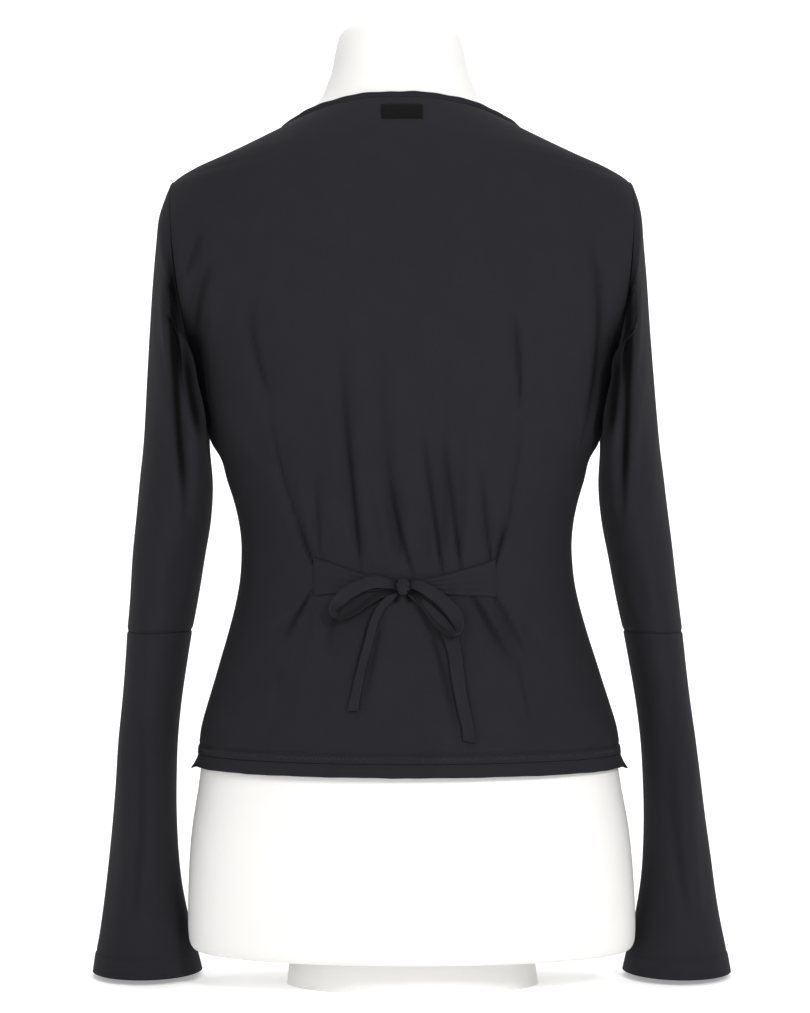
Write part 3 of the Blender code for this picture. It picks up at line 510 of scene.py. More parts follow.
# Painted shade: lines along which the back's colour is darkened, standing in for the shade in the gathers over the tie,
# the shadows beside the bow's tails and under the knot and loops, along the dart seams and in the armpits.
BACK_PAINTED_SHADE = [
    Crease(-47, 490, -41, 406, -33.0, 313, 2.1, 0.90),
    Crease(-14, 420, -7, 362, 8, 312, 2.1, 0.85),
    Crease(13, 440, 20, 375, 29, 311, 2.1, 0.90),
    Crease(27, 440, 35, 378, 43, 311, 2.0, 0.85),
    Crease(58, 410, 60, 362, 66, 318, 1.7, 0.70),
    Crease(-67, 400, -66, 366, -63, 320, 1.6, 0.50),
    Crease(-47, 212, -37, 254, -26, 296, 2.4, 0.60),
    Crease(-36, 214, -27, 256, -18, 290, 2.0, 0.60),
    Crease(37, 196, 28, 246, 16, 284, 2.6, 0.60),
    Crease(50, 200, 43, 240, 40, 274, 1.8, 0.45),
    Crease(-58, 286, -46, 290, -30, 296, 2.6, 0.30),
    Crease(-8, 320, -8, 309, -8.6, 298, 2.8, 1.30),
    Crease(1, 320, 1, 309, 2.0, 298, 2.8, 1.30),
    Crease(-112.6, 535, -112.3, 492, -101.5, 457, 2.6, 0.60),
    Crease(82, 528, 86, 488, 87.3, 448, 2.4, 0.70),
    Crease(-84, 368, -77, 348, -68.0, 322, 1.8, 1.10),
    Crease(76, 364, 71, 344, 64.0, 320, 1.8, 1.00),
    Crease(-150, 586, -157, 570, -166, 545, 2.6, 0.60),
    Crease(-139, 566, -152, 540, -158, 506, 3.2, 0.70),
    Crease(139, 588, 148, 530, 136, 432, 2.8, 0.80),
    Crease(-164, 536, -160, 478, -146, 412, 8.0, 1.90),
    Crease(164, 530, 160, 478, 149, 416, 6.0, 1.60),
    Crease(-101, 457, -92, 416, -70.5, 332, 0.9, 0.45),
    Crease(87.3, 446, 83, 404, 66.5, 330, 0.9, 0.45),
    Crease(-73, 304, -96, 262, -107, 190, 0.9, 0.25),
    Crease(67, 304, 84, 262, 91.5, 190, 0.9, 0.25),
    Crease(-96, 264, -84, 284, -70, 312, 2.2, 0.95),
    Crease(82, 246, 64, 280, 44, 313, 2.8, 0.80),
    Crease(92, 252, 78, 282, 60, 314, 2.2, 0.65),
    Crease(-63, 255, -56, 280, -44, 312, 2.6, 0.45),
]
NARROWING, GROWTH = 0.45, 0.55
SHOULDER_SHARE, SHOULDER_PLACE = 0.32, 1.9


def crease_line(crease, z):
    """How far z lies along a crease, from its far end to its near one, and the crease's x."""
    share = (crease.far_z - z) / (crease.far_z - crease.near_z)
    t = np.clip(share, 0.0, 1.0)
    bend = crease.mid_x - (crease.far_x + crease.near_x) / 2
    return share, crease.far_x + (crease.near_x - crease.far_x) * t + 4.0 * bend * t * (1.0 - t)


def crease_depth(x, z, creases, ending=10.0, shoulder=SHOULDER_SHARE):
    """How far the surface sinks at x, z, mm: soft troughs and, where negative, ridges.

    A crease narrows and deepens from its far end to its near one, and the cloth stands up a
    little on both sides of it. ending is how sharply it stops at its near end."""
    total = np.zeros_like(x)
    for crease in creases:
        share, line = crease_line(crease, z)
        t = np.clip(share, 0.0, 1.0)
        fade = np.minimum(1.0, 2.2 * t) * np.minimum(1.0, ending * (1.0 - t))
        fade = fade * fade * (3.0 - 2.0 * fade) * (1.0 - GROWTH + GROWTH * t)
        u = (x - line) / (crease.half_width * (1.0 + NARROWING - 2.0 * NARROWING * t))
        profile = np.exp(-u ** 2) - shoulder * (np.exp(-(u - SHOULDER_PLACE) ** 2)
                                                      + np.exp(-(u + SHOULDER_PLACE) ** 2))
        total += (share > 0.0) * (share < 1.0) * crease.depth * fade * profile
    return total


def seam_depth(x, z, seams):
    """A sewn seam: a narrow groove of even depth along each line."""
    total = np.zeros_like(x)
    for seam in seams:
        share, line = crease_line(seam, z)
        inside = (share > -0.01) & (share < 1.01)
        total = np.maximum(total, inside * seam.depth * np.exp(-((x - line) / seam.half_width) ** 2))
    return total


def jersey_material(name, dark, light):
    """Fine single jersey, near black: faint wales, a soft mottle and a dull sheen, with painted shade where a piece's
    shade mask says so.
    """
    finish, tree, shader = new_material(name, dark[:3], 1.0, 0.03)
    shader.inputs["Sheen Tint"].default_value = (0.55, 0.56, 0.62, 1.0)
    shader.inputs["Specular IOR Level"].default_value = 0.10
    cloth = add_node(tree, "ShaderNodeUVMap", {"uv_map": "cloth"})
    place = add_node(tree, "ShaderNodeTexCoord", output="Object")
    across = add_node(tree, "ShaderNodeSeparateXYZ", inputs={"Vector": cloth})
    wave = add_node(tree, "ShaderNodeMath", {"operation": "SINE"}, {0: across * (2 * np.pi / WALE)})
    fibre = add_node(tree, "ShaderNodeTexNoise", inputs={"Vector": cloth, "Scale": 1500.0, "Detail": 3.0})
    mottle = add_node(tree, "ShaderNodeTexNoise", inputs={"Vector": place, "Scale": 55.0, "Detail": 4.0})
    cloud = add_node(tree, "ShaderNodeTexNoise", inputs={"Vector": place, "Scale": 7.0, "Detail": 2.0})
    mask = fibre * 0.45 + mottle * 0.3 + cloud * 0.25 + wave * 0.015
    tone = add_node(tree, "ShaderNodeMix", {"data_type": "RGBA"},
                    {"Factor": mask, "A": dark, "B": light}, output=2)
    # Painted shade: the colour is mixed towards near black by the piece's shade mask, standing in for the shade deep in
    # folds and by the bow.
    painted_shade = add_node(tree, "ShaderNodeAttribute", {"attribute_name": "painted_shade"}, output=2)
    shaded = add_node(tree, "ShaderNodeMix", {"data_type": "RGBA"},
                      {"Factor": painted_shade, "A": tone, "B": (0.0008, 0.0008, 0.0010, 1.0)}, output=2)
    tree.links.new(shaded.output, shader.inputs["Base Color"])
    height = wave * 0.2 + fibre
    bump = add_node(tree, "ShaderNodeBump", inputs={"Height": height, "Strength": 0.35, "Distance": 0.0002})
    tree.links.new(bump.output, shader.inputs["Normal"])
    return finish


jersey = jersey_material("jersey_fine", JERSEY_DARK, JERSEY_LIGHT)


def crowded(count, crowding):
    """Shares from -1 to 1 that lie closer together in the middle."""
    steps = np.linspace(-1.0, 1.0, count + 1)
    return steps * (1.0 - crowding) + crowding * steps ** 3


HEM_STITCH_Z, HEM_GROOVE, HEM_FOLD = 187.0, 0.7, 0.5
SEAM_ROLL, SIDE_LENGTH = 0.25, 245.0
EASED_ROWS, EASED_ROUNDS = 3.2, 90
UNDERARM_CUT = 17 + 5 * (UNDERARM_ROW - 1)


def body_places():
    """Where the rows of points lie: close together over the turned hem, then even."""
    return np.concatenate((np.linspace(0.0, 1.0, 18)[:-1], np.arange(1.0, len(BODY) - 0.99, 0.2)))


def hem_relief(z):
    """The turned hem stands a little proud below its stitching, which lies in a groove."""
    proud = HEM_FOLD * np.clip((HEM_STITCH_Z - z) / 1.5, 0.0, 1.0)
    return proud - HEM_GROOVE * np.exp(-((z - HEM_STITCH_Z) / 1.0) ** 2)


def seam_shares(shares, ends):
    """Shares with more columns close to the sewn ends, so that the seam can roll under."""
    near = np.array([0.0015, 0.004, 0.008, 0.014])
    more = [end - np.sign(end) * near for end in ends]
    return np.sort(np.concatenate([shares] + more))


def rolled(distance):
    """How far cloth rolls under beside a seam, by its distance from the seam in mm."""
    return SEAM_ROLL * np.exp(-(distance / 1.4) ** 2)


def eased_underarm(points, keep):
    """Let the body grow rounder gradually below the armholes; keep is 0 at sewn columns."""
    places = body_places()
    weight = np.clip(1.0 - np.abs(places - UNDERARM_ROW) / EASED_ROWS, 0.0, 1.0)[1:-1, None, None]
    for _ in range(EASED_ROUNDS):
        shift = (points[:-2] + points[2:]) / 2 - points[1:-1]
        points[1:-1] += 0.5 * shift * weight * keep[None, :, None]
    return points


def build_back():
    """The back panel with its valleys, darts and turned hem, sewn on at both sides."""
    shares = seam_shares(crowded(BACK_COLUMNS, BACK_CROWDING), (-1.0, 1.0))
    inner = np.clip((1.0 - np.abs(shares)) * 9.0, 0.0, 1.0)
    points = eased_underarm(section_points(body_rows(body_places()), shares, True), inner)
    x, z = points[..., 0], points[..., 2]
    sink = crease_depth(x, z, BACK_CREASES) + seam_depth(x, z, DART_SEAMS)
    sink = sink * inner - hem_relief(z) * np.clip((1.0 - np.abs(shares)) * 60.0, 0.0, 1.0)
    sink += rolled((1.0 - np.abs(shares)) * SIDE_LENGTH)
    normals = outward(points)
    points -= normals * sink[..., None]
    edge = points[:, [0, -1]] - normals[:, [0, -1]] * 1.3
    under = edge + np.array([0.0, 2.6, 0.0])
    under[UNDERARM_CUT:] = edge[UNDERARM_CUT:]
    points = np.concatenate((under[:, :1], edge[:, :1], points, edge[:, 1:], under[:, 1:]), axis=1)
    # Painted shade along the back's deep folds, by the bow and in the armpits.
    painted_shade = crease_depth(points[..., 0], points[..., 2], BACK_PAINTED_SHADE, 5.0, 0.0)
    back = grid_piece("back_panel", points, jersey, thick=WALL, painted_shade=painted_shade)
    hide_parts("back")
    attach(back, "root")
    return back


back_piece = build_back()

# The fronts
# Hidden in the photograph and finished plainly: two panels with a neck edge that runs down
# to the middle, where the one on the +X side laps over the other.
LAP, LAP_LIFT, LAP_FROM, LAP_TO = 10.0, 2.2, 40.0, 18.0
FRONT_COLUMNS = 70
NECK_POINT_Z = SHOULDER[-1].edge_height
FRONT_CREASES = [
    Crease(60, 600, 74, 560, 86, 520, 12.0, 1.4),
    Crease(120, 590, 126, 550, 128, 510, 10.0, 1.4),
    Crease(70, 470, 64, 420, 58, 360, 12.0, 1.4),
    Crease(100, 470, 92, 420, 84, 350, 10.0, 1.6),
    Crease(50, 330, 56, 290, 66, 230, 12.0, 1.2),
    Crease(96, 320, 104, 280, 112, 230, 9.0, 1.4),
    Crease(25, 300, 27, 270, 30, 230, 8.0, 1.0),
]


def neck_line_x(edge_z):
    """How far from the middle a front's neck edge lies at a height; negative past it."""
    bottom = LEVELS[-1].height
    climb = np.clip((edge_z - bottom) / (NECK_POINT_Z - bottom), 0.0, 1.0)
    return -LAP + (SHOULDER[-1].edge_x - 4.0 + LAP) * climb ** 0.9


def front_steps(columns):
    """Steps from a front's sewn edge, with more of them close to the seam."""
    return np.sort(np.concatenate((np.linspace(0.0, 1.0, columns + 1), (0.0015, 0.004, 0.008, 0.014))))


def front_points(rows, columns, side):
    """Points of one front from its side or armhole edge to its inner edge."""
    inner = share_of(rows, side * neck_line_x(rows[:, EDGE_Z]))
    steps = front_steps(columns)
    shares = side + (inner[:, None] - side) * steps[None, :]
    points = section_points(rows, shares, False)
    if side > 0:
        rise = np.clip((LAP_FROM - points[..., 0]) / (LAP_FROM - LAP_TO), 0.0, 1.0)
        lift = LAP_LIFT * rise * rise * (3.0 - 2.0 * rise)
        away = np.stack((points[..., 0] / rows[:, [EDGE_X]] ** 2,
                         points[..., 1] / rows[:, [FRONT_Y]] ** 2, np.zeros_like(lift)), axis=-1)
        away /= np.linalg.norm(away, axis=-1, keepdims=True)
        points = points + away * lift[..., None]
    return points


def build_front(name, node, side):
    """One front as a thin shell."""
    steps = front_steps(FRONT_COLUMNS)
    inner = np.clip(np.minimum(steps, 1.0 - steps) * 9.0, 0.0, 1.0)
    points = eased_underarm(front_points(body_rows(body_places()), FRONT_COLUMNS, side), inner)
    if side < 0:
        points, steps, inner = points[:, ::-1], steps[::-1], inner[::-1]
    x, z = np.abs(points[..., 0]), points[..., 2]
    flat_lap = np.clip((x - 22.0) / 14.0, 0.0, 1.0)
    sink = (crease_depth(x, z, FRONT_CREASES, 2.5) * inner - hem_relief(z) * np.clip(steps * 60.0, 0.0, 1.0))
    sink = sink * flat_lap + rolled(steps * SIDE_LENGTH)
    points = points - outward(points) * sink[..., None]
    front = grid_piece(name, points, jersey, thick=WALL)
    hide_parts(node)
    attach(front, "root")
    return front


front_pieces = [build_front("front_panel_left", "front_left", -1),
                build_front("front_panel_right", "front_right", 1)]

# The sleeves
# Each is an upper tube set into the armhole and a lower one that flares to the cuff. They
# hang flat from side to side, with a deep fold beside the body and soft ones below.
Cuff = namedtuple("Cuff", "outer_x outer_z inner_x inner_z half_depth middle_y bow fuller")
UPPER_SLEEVE = [
    Cuff(216.2, 275.0, 168.2, 275.0, 52.0, 0.0, 0.0, 2.3),
    Cuff(213.7, 298.0, 163.4, 298.0, 53.0, 0.0, 0.0, 2.4),
    Cuff(210.8, 330.0, 157.8, 330.0, 54.0, 0.0, 0.0, 2.9),
    Cuff(207.6, 361.0, 152.4, 361.0, 55.0, 0.0, -1.0, 2.9),
    Cuff(204.5, 392.0, 151.2, 390.0, 56.0, 0.0, -4.0, 2.9),
    Cuff(201.0, 423.0, 155.6, 417.0, 56.5, 0.0, -10.0, 2.8),
    Cuff(197.7, 470.0, 156.8, 437.0, 56.5, 0.0, -11.0, 2.9),
    Cuff(195.0, 510.0, 159.6, 452.0, 56.0, 0.0, -10.0, 2.8),
    Cuff(192.5, 548.0, 161.0, 464.0, 55.0, 0.0, -6.0, 2.3),
    Cuff(190.0, 575.0, 162.2, 473.0, 54.0, 0.0, -2.0, 1.9),
    Cuff(187.2, 596.0, 163.0, 480.0, 52.6, 0.0, 2.0, 1.4),
    Cuff(182.6, 611.5, 163.6, 485.4, 51.2, 0.0, 4.4, 0.4),
    Cuff(177.6, 624.0, 163.0, 489.3, 50.0, 0.0, 5.0, 0.0),
]
LOWER_SLEEVE = [
    Cuff(252.0, 4.0, 167.0, 4.6, 56.0, 36.0, 0.0, 0.4),
    Cuff(249.6, 18.0, 170.0, 18.0, 55.2, 34.0, 0.0, 0.5),
    Cuff(246.2, 34.0, 174.0, 34.0, 54.2, 31.0, 0.0, 0.5),
    Cuff(242.8, 52.0, 177.2, 52.0, 53.2, 27.5, 0.0, 0.7),
    Cuff(239.6, 72.0, 180.4, 72.0, 52.2, 23.0, 0.0, 0.8),
    Cuff(236.4, 96.0, 182.6, 96.0, 51.2, 18.5, 0.0, 0.7),
    Cuff(232.4, 127.0, 183.6, 127.0, 50.2, 13.5, 0.0, 0.9),
    Cuff(228.8, 158.0, 183.0, 158.0, 49.6, 9.5, 0.0, 1.1),
    Cuff(225.2, 189.0, 181.2, 189.0, 49.2, 6.0, 0.0, 1.7),
    Cuff(221.4, 220.5, 177.4, 220.5, 49.4, 3.0, 0.0, 1.9),
    Cuff(218.2, 252.0, 172.2, 252.0, 50.6, 1.0, 0.0, 2.1),
    Cuff(216.2, 274.7, 168.2, 274.7, 52.0, 0.0, 0.0, 2.3),
]
SLEEVE_COLUMNS = 256
CUFF_STITCH = 16.5
LEFT_FOLDS = [
    Crease(-171, 582, -174, 510, -169, 446, 4.2, 9.0),
    Crease(-173, 500, -168, 430, -167, 350, 4.6, 6.5),
    Crease(-190, 560, -188, 500, -184, 430, 8.0, -1.0),
    Crease(-190, 470, -186, 420, -182, 350, 7.0, 1.6),
    Crease(-170, 350, -176, 320, -184, 284, 6.0, 1.8),
    Crease(-199, 400, -198, 350, -201, 298, 7.0, 1.2),
    Crease(-212, 266, -205, 170, -216, 34, 8.0, 3.6),
    Crease(-193, 250, -191, 180, -189, 50, 8.0, 1.8),
    Crease(-226, 190, -230, 120, -238, 26, 7.0, 1.4),
]
RIGHT_FOLDS = [
    Crease(170, 582, 171, 510, 168, 446, 4.2, 9.0),
    Crease(171, 500, 166, 430, 164, 350, 4.6, 6.5),
    Crease(186, 560, 184, 500, 180, 430, 8.0, -1.0),
    Crease(188, 480, 183, 430, 179, 366, 7.0, 1.8),
    Crease(170, 344, 176, 312, 183, 282, 6.0, 1.8),
    Crease(195, 410, 194, 360, 197, 304, 7.0, 1.2),
    Crease(210, 266, 203, 165, 218, 34, 8.0, 3.6),
    Crease(192, 250, 190, 170, 189, 50, 8.0, 1.7),
    Crease(222, 200, 226, 130, 236, 26, 7.0, 1.5),
]
# Painted shade on the sleeves: lines along which the colour is darkened, standing in for the shade in the deep fold
# behind each arm, the armpit hollow and the flare's long fold.
LEFT_PAINTED_SHADE = [
    Crease(-177, 590, -176, 545, -174, 462, 3.4, 1.50),
    Crease(-175, 572, -174.5, 480, -167.5, 366, 3.6, 1.45),
    Crease(-168, 520, -164, 470, -155, 418, 4.2, 1.50),
    Crease(-210, 262, -206, 170, -216, 40, 4.0, 0.30),
]
RIGHT_PAINTED_SHADE = [
    Crease(173, 590, 172.5, 545, 171, 462, 3.2, 1.50),
    Crease(171.5, 572, 171, 480, 165, 366, 3.4, 1.45),
    Crease(167, 520, 162, 470, 156, 418, 4.2, 1.50),
    Crease(208, 262, 203, 165, 218, 40, 4.0, 0.30),
]
FRONT_FOLDS = [
    Crease(180, 560, 178, 480, 176, 380, 7.0, 2.2),
    Crease(190, 470, 186, 420, 183, 350, 7.0, 1.6),
    Crease(172, 345, 178, 315, 184, 282, 6.0, 1.8),
    Crease(206, 258, 204, 170, 212, 40, 8.0, 3.0),
    Crease(192, 240, 194, 170, 196, 60, 8.0, 1.5),
    Crease(226, 180, 230, 110, 238, 30, 8.0, 1.2),
]


def sleeve_points(table, places, side, columns):
    """Rings of one sleeve piece in mm; the first column lies on the outer edge."""
    rows = smooth_rows(np.array(table), places)
    rows[:, 0] -= side * rows[:, 7]
    angle = np.linspace(0.0, 2.0 * np.pi, columns, endpoint=False)
    across, forward = np.cos(angle), np.sin(angle)
    x = (rows[:, [0]] + rows[:, [2]]) / 2 + (rows[:, [0]] - rows[:, [2]]) / 2 * across
    z = (rows[:, [1]] + rows[:, [3]]) / 2 + (rows[:, [1]] - rows[:, [3]]) / 2 * across
    y = rows[:, [5]] + rows[:, [4]] * forward
    x = x + rows[:, [6]] * np.abs(forward)
    points = np.stack((side * x, y, z), axis=-1)
    return points if side > 0 else points[:, ::-1]


def sleeve_sink(points, side):
    """The folds of one sleeve piece, by where its points lie."""
    x, y, z = points[..., 0], points[..., 1], points[..., 2]
    middle = (y.max(axis=1, keepdims=True) + y.min(axis=1, keepdims=True)) / 2
    depth = (y.max(axis=1, keepdims=True) - y.min(axis=1, keepdims=True)) / 2
    facing = (middle - y) / depth
    behind = crease_depth(x, z, LEFT_FOLDS if side < 0 else RIGHT_FOLDS, 2.5)
    before = crease_depth(np.abs(x), z, FRONT_FOLDS, 2.5)
    return behind * np.clip(facing * 3.0, 0.0, 1.0) + before * np.clip(-facing * 3.0, 0.0, 1.0)


def sleeve_painted_shade(points, side):
    """How much painted shade each point of a sleeve takes: along the deep fold behind the arm, in the armpit and down
    the flare's long fold, fading out towards the sleeve's front.
    """
    y = points[..., 1]
    return crease_depth(points[..., 0], points[..., 2], LEFT_PAINTED_SHADE if side < 0 else RIGHT_PAINTED_SHADE,
                        4.0, 0.0) * np.clip((y.max() - 10.0 - y) / 20.0, 0.0, 1.0)


def fine_places(last, first_fine, last_fine):
    """Rows a fifth of a section apart, and closer where an end is sewn or turned."""
    places = np.arange(0.0, last + 0.01, 0.2)
    ends = []
    if first_fine:
        ends.append(np.linspace(0.0, first_fine, 16))
        places = places[places > first_fine]
    if last_fine:
        ends.append(last - np.array([0.12, 0.07, 0.04, 0.015, 0.0]))
        places = places[places < last - 0.16]
    return np.sort(np.concatenate([places] + ends))


def build_sleeve_upper(name, node, side):
    """The upper tube; its top edge rolls into the armhole seam and is turned under."""
    places = fine_places(12.0, 0.0, True)
    points = sleeve_points(UPPER_SLEEVE, places, side, SLEEVE_COLUMNS)
    normals = outward(points, closed=True)
    seam = 0.2 * np.exp(-((places - 12.0) / 0.07) ** 2) + 0.8 * np.exp(-(places / 0.07) ** 2)
    sewn = np.clip((12.0 - places) / 0.6, 0.0, 1.0)[:, None]
    points -= normals * (sleeve_sink(points, side) * sewn + seam[:, None])[..., None]
    close = np.exp(-((points[..., 2] - 482.0) / 12.0) ** 2) * np.exp(-((np.abs(points[..., 0]) - 162.0) / 3.0) ** 2)
    points[..., 0] -= side * 1.6 * close
    top = points[-1] - normals[-1] * 1.6
    turned = top - np.array([side * 3.0, 0.0, 0.0])
    foot = points[0] - normals[0] * 1.4
    tucked = foot - np.array([0.0, 0.0, 3.0])
    points = np.concatenate(([tucked, foot], points, [top, turned]))
    sleeve = grid_piece(name, points, jersey, closed=True, thick=WALL, painted_shade=sleeve_painted_shade(points, side))
    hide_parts(node)
    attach(sleeve, "root")
    return sleeve


def cuff_relief(points):
    """The turned cuff stands a little proud below its stitching."""
    rise = points[..., 2] - points[0, :, 2]
    proud = 0.5 * np.clip((CUFF_STITCH - rise) / 1.5, 0.0, 1.0)
    return proud - 0.6 * np.exp(-((rise - CUFF_STITCH) / 1.0) ** 2)


def build_sleeve_lower(name, node, side):
    """The lower tube, which flares to a turned and stitched cuff."""
    places = fine_places(11.0, 1.35, True)
    points = sleeve_points(LOWER_SLEEVE, places, side, SLEEVE_COLUMNS)
    seam = 0.9 * np.exp(-((places - 11.0) / 0.07) ** 2)
    normals = outward(points, closed=True)
    sink = sleeve_sink(points, side) + seam[:, None] - cuff_relief(points)
    points -= normals * sink[..., None]
    sleeve = grid_piece(name, points, jersey, closed=True, thick=WALL, painted_shade=sleeve_painted_shade(points, side))
    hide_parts(node)
    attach(sleeve, "root")
    return sleeve


for sleeve_name, sleeve_side in (("left", -1), ("right", 1)):
    build_sleeve_upper("sleeve_head_" + sleeve_name,
                                            "sleeve_upper_" + sleeve_name, sleeve_side)
    build_sleeve_lower("sleeve_flare_" + sleeve_name,
                                            "sleeve_lower_" + sleeve_name, sleeve_side)

# The hem strip
# A narrow strip of the same jersey that shows below the turned hem. Its raw lower edge is
# uneven and curls to a small point under each side seam.
STRIP_FOOT = Level(169.6, 166.4, 111.2, 105.6)
STRIP_TOP = 179.7
CURL_REACH, CURL_DROP, CURL_OUT = 8.0, 2.6, 4.4


def strip_row(level):
    """One level line of the strip, from the lower front's edge round the back."""
    rows = np.array([level_row(level)])
    left = front_points(rows, FRONT_COLUMNS, -1)[0][::-1]
    middle = section_points(rows, seam_shares(crowded(BACK_COLUMNS, BACK_CROWDING), (-1.0, 1.0)), True)[0]
    right = front_points(rows, FRONT_COLUMNS, 1)[0]
    return np.concatenate((left[:-1], middle, right[1:]))


def build_hem_strip():
    """The strip, tucked up behind the hem at its top."""
    foot, top = strip_row(STRIP_FOOT), strip_row(LEVELS[0]._replace(height=STRIP_TOP))
    steps = np.concatenate((np.linspace(0.0, 0.96, 10), (1.0,)))[:, None, None]
    points = foot + (top - foot) * steps
    normals = outward(points)
    along = np.cumsum(np.linalg.norm(np.diff(foot, axis=0, prepend=foot[:1]), axis=1))
    wave = 0.55 * np.sin(along / 9.0) + 0.4 * np.sin(along / 3.7 + 1.0) + 0.3 * np.sin(along / 21.0 + 2.0)
    behind = foot[:, 1] < 2.0
    edge = np.where(behind, np.abs(foot[:, 1]), 1e3)
    curl = np.exp(-(edge / CURL_REACH) ** 2)
    low = (1.0 - steps[..., 0]) ** 2
    points[..., 2] += (wave[None, :] * 0.25 - CURL_DROP * curl[None, :]) * low
    points += normals * ((wave[None, :] * 0.35 + CURL_OUT * curl[None, :]) * low)[..., None]
    hidden = points[-1] - normals[-1] * 1.5 + np.array([0.0, 0.0, 0.3])
    tucked = hidden + np.array([0.0, 0.0, 5.0])
    points = np.concatenate((points, [hidden, tucked]))
    strip = grid_piece("hem_raw_strip", points, jersey, thick=1.0)
    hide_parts("hem_strip")
    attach(strip, "root")
    return strip


hem_strip_piece = build_hem_strip()

# The neck strip
# The same raw strip stands on the neck edge, all the way round from one front to the other,
# and leans in over the form's neck.
NECK_STRIP_HEIGHT, NECK_STRIP_STAND = 5.4, 1.8
NAPE_POINTS, NECK_SIDE_POINTS = 120, 90


def neck_path():
    """Points along the neck edge in mm with the body's outward normals."""
    places = np.linspace(UNDERARM_ROW, len(BODY) - 1.0, NECK_SIDE_POINTS)
    edges = body_rows(places)[:, EDGE_Z]
    branches = []
    for side in (-1, 1):
        x = side * neck_line_x(edges)
        point = body_at(places, x, False)
        ahead = body_at(places, x + 0.5, False) - body_at(places, x - 0.5, False)
        up = body_at(np.minimum(places + 0.05, len(BODY) - 1.0), x, False) - body_at(
            np.minimum(places + 0.05, len(BODY) - 1.0) - 0.1, x, False)
        normal = -np.cross(ahead, up)
        if side > 0:
            point = point + np.array([0.0, 1.0, 0.0]) * (
                LAP_LIFT * np.clip((LAP_FROM - x) / (LAP_FROM - LAP_TO), 0.0, 1.0))[:, None]
        branches.append((point, normal / np.linalg.norm(normal, axis=-1, keepdims=True)))
    last = BODY[-1]
    shares = crowded(NAPE_POINTS, 0.3)
    x = last[EDGE_X] * np.sin(shares * np.pi / 2)
    places = np.full(len(x), len(BODY) - 1.0)
    nape = section_points(np.array([last]), shares, True)[0]
    inner = np.where(x > 0, -0.5, 0.5)
    ahead = (body_at(places, x + inner, True) - nape) * inner[:, None]
    up = nape - body_at(places - 0.1, x, True)
    normal = np.cross(ahead, up)
    normal /= np.linalg.norm(normal, axis=-1, keepdims=True)
    points = np.concatenate((branches[0][0], nape[1:-1], branches[1][0][::-1]))
    normals = np.concatenate((branches[0][1], normal[1:-1], branches[1][1][::-1]))
    return points, normals


def build_neck_strip():
    """The strip, tucked under the neck edge at its foot."""
    path, normals = neck_path()
    for _ in range(6):
        normals[1:-1] = (normals[:-2] + 2 * normals[1:-1] + normals[2:]) / 4
    normals /= np.linalg.norm(normals, axis=-1, keepdims=True)
    along = np.gradient(path, axis=0)
    along /= np.linalg.norm(along, axis=-1, keepdims=True)
    onward = np.cross(along, normals)
    onward *= np.where((onward * (path * [-1, 0, 0] + [0, 0, 20])).sum(axis=-1) < 0, -1, 1)[:, None]
    onward[:, 2] += NECK_STRIP_STAND * np.maximum(0.0, normals[:, 2] - 0.3)
    onward /= np.linalg.norm(onward, axis=-1, keepdims=True)
    out = np.cross(onward, along)
    out *= np.where((out * normals).sum(axis=-1) < 0, -1, 1)[:, None]
    length = np.cumsum(np.linalg.norm(np.diff(path, axis=0, prepend=path[:1]), axis=1))
    wave = 0.45 * np.sin(length / 7.0) + 0.3 * np.sin(length / 2.9 + 1.0)
    rows = [path - onward * 4.0 - out * 1.5, path - out * 1.5]
    for step in np.linspace(0.08, 1.0, 8):
        rise = NECK_STRIP_HEIGHT * step + wave * 0.5 * step ** 2
        rows.append(path + onward * rise[:, None] + out * (wave * 0.25 * step ** 2)[:, None])
    strip = grid_piece("neck_raw_strip", np.array(rows), jersey, thick=1.0)
    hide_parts("neck_strip")
    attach(strip, "root")
    return strip


neck_strip_piece = build_neck_strip()

# The tie and its bow
# Two flat ends leave the darts at the waist and crush to pleats at the knot; two loops and
# two tails of the same narrow tube hang from it, the right ones longer and wider.
Tie = namedtuple("Tie", "x upper lower")
TIE_LEFT = [Tie(-70.5, 333.4, 304.4), Tie(-60.0, 330.4, 305.6), Tie(-46.0, 325.6, 306.6),
            Tie(-32.0, 320.8, 307.6), Tie(-20.0, 317.6, 308.6), Tie(-12.4, 316.2, 309.0)]
TIE_RIGHT = [Tie(67.0, 332.0, 303.6), Tie(56.0, 328.6, 304.4), Tie(43.0, 324.6, 304.6),
             Tie(30.0, 321.0, 305.6), Tie(16.0, 317.6, 307.4), Tie(5.4, 316.4, 308.6)]
Band = namedtuple("Band", "x height lift width turn", defaults=(7.0, 0.0))
KNOT = Band(-3.0, 311.6, 2.8)
KNOT_SIZE = (5.6, 6.6, 3.4)
TAIL_LEFT = [Band(-8.0, 307.6, 2.6, 5.6, 20), Band(-13.0, 302.6, 3.4, 6.4, 30), Band(-19.0, 296.0, 3.8, 6.6, 35),
             Band(-24.4, 286.0, 3.8, 6.6, 30), Band(-28.4, 272.0, 3.4, 6.6, 20), Band(-33.6, 254.0, 3.0, 6.6, 10),
             Band(-38.0, 236.0, 2.6, 7.2, 0), Band(-41.6, 219.0, 2.4, 9.0, 0)]
TAIL_RIGHT = [Band(1.6, 307.0, 2.6, 5.6, 20), Band(7.0, 302.6, 3.4, 6.4, 30), Band(15.0, 296.0, 3.8, 7.6, 20),
              Band(24.0, 286.0, 3.8, 9.4, 10), Band(31.0, 275.0, 3.4, 11.4, 0), Band(34.6, 262.0, 3.0, 11.0, 0),
              Band(36.6, 244.0, 2.8, 10.2, 0), Band(39.4, 226.0, 2.6, 9.6, 0), Band(43.2, 208.0, 2.4, 9.4, 0),
              Band(44.4, 196.6, 2.4, 9.4, 0)]
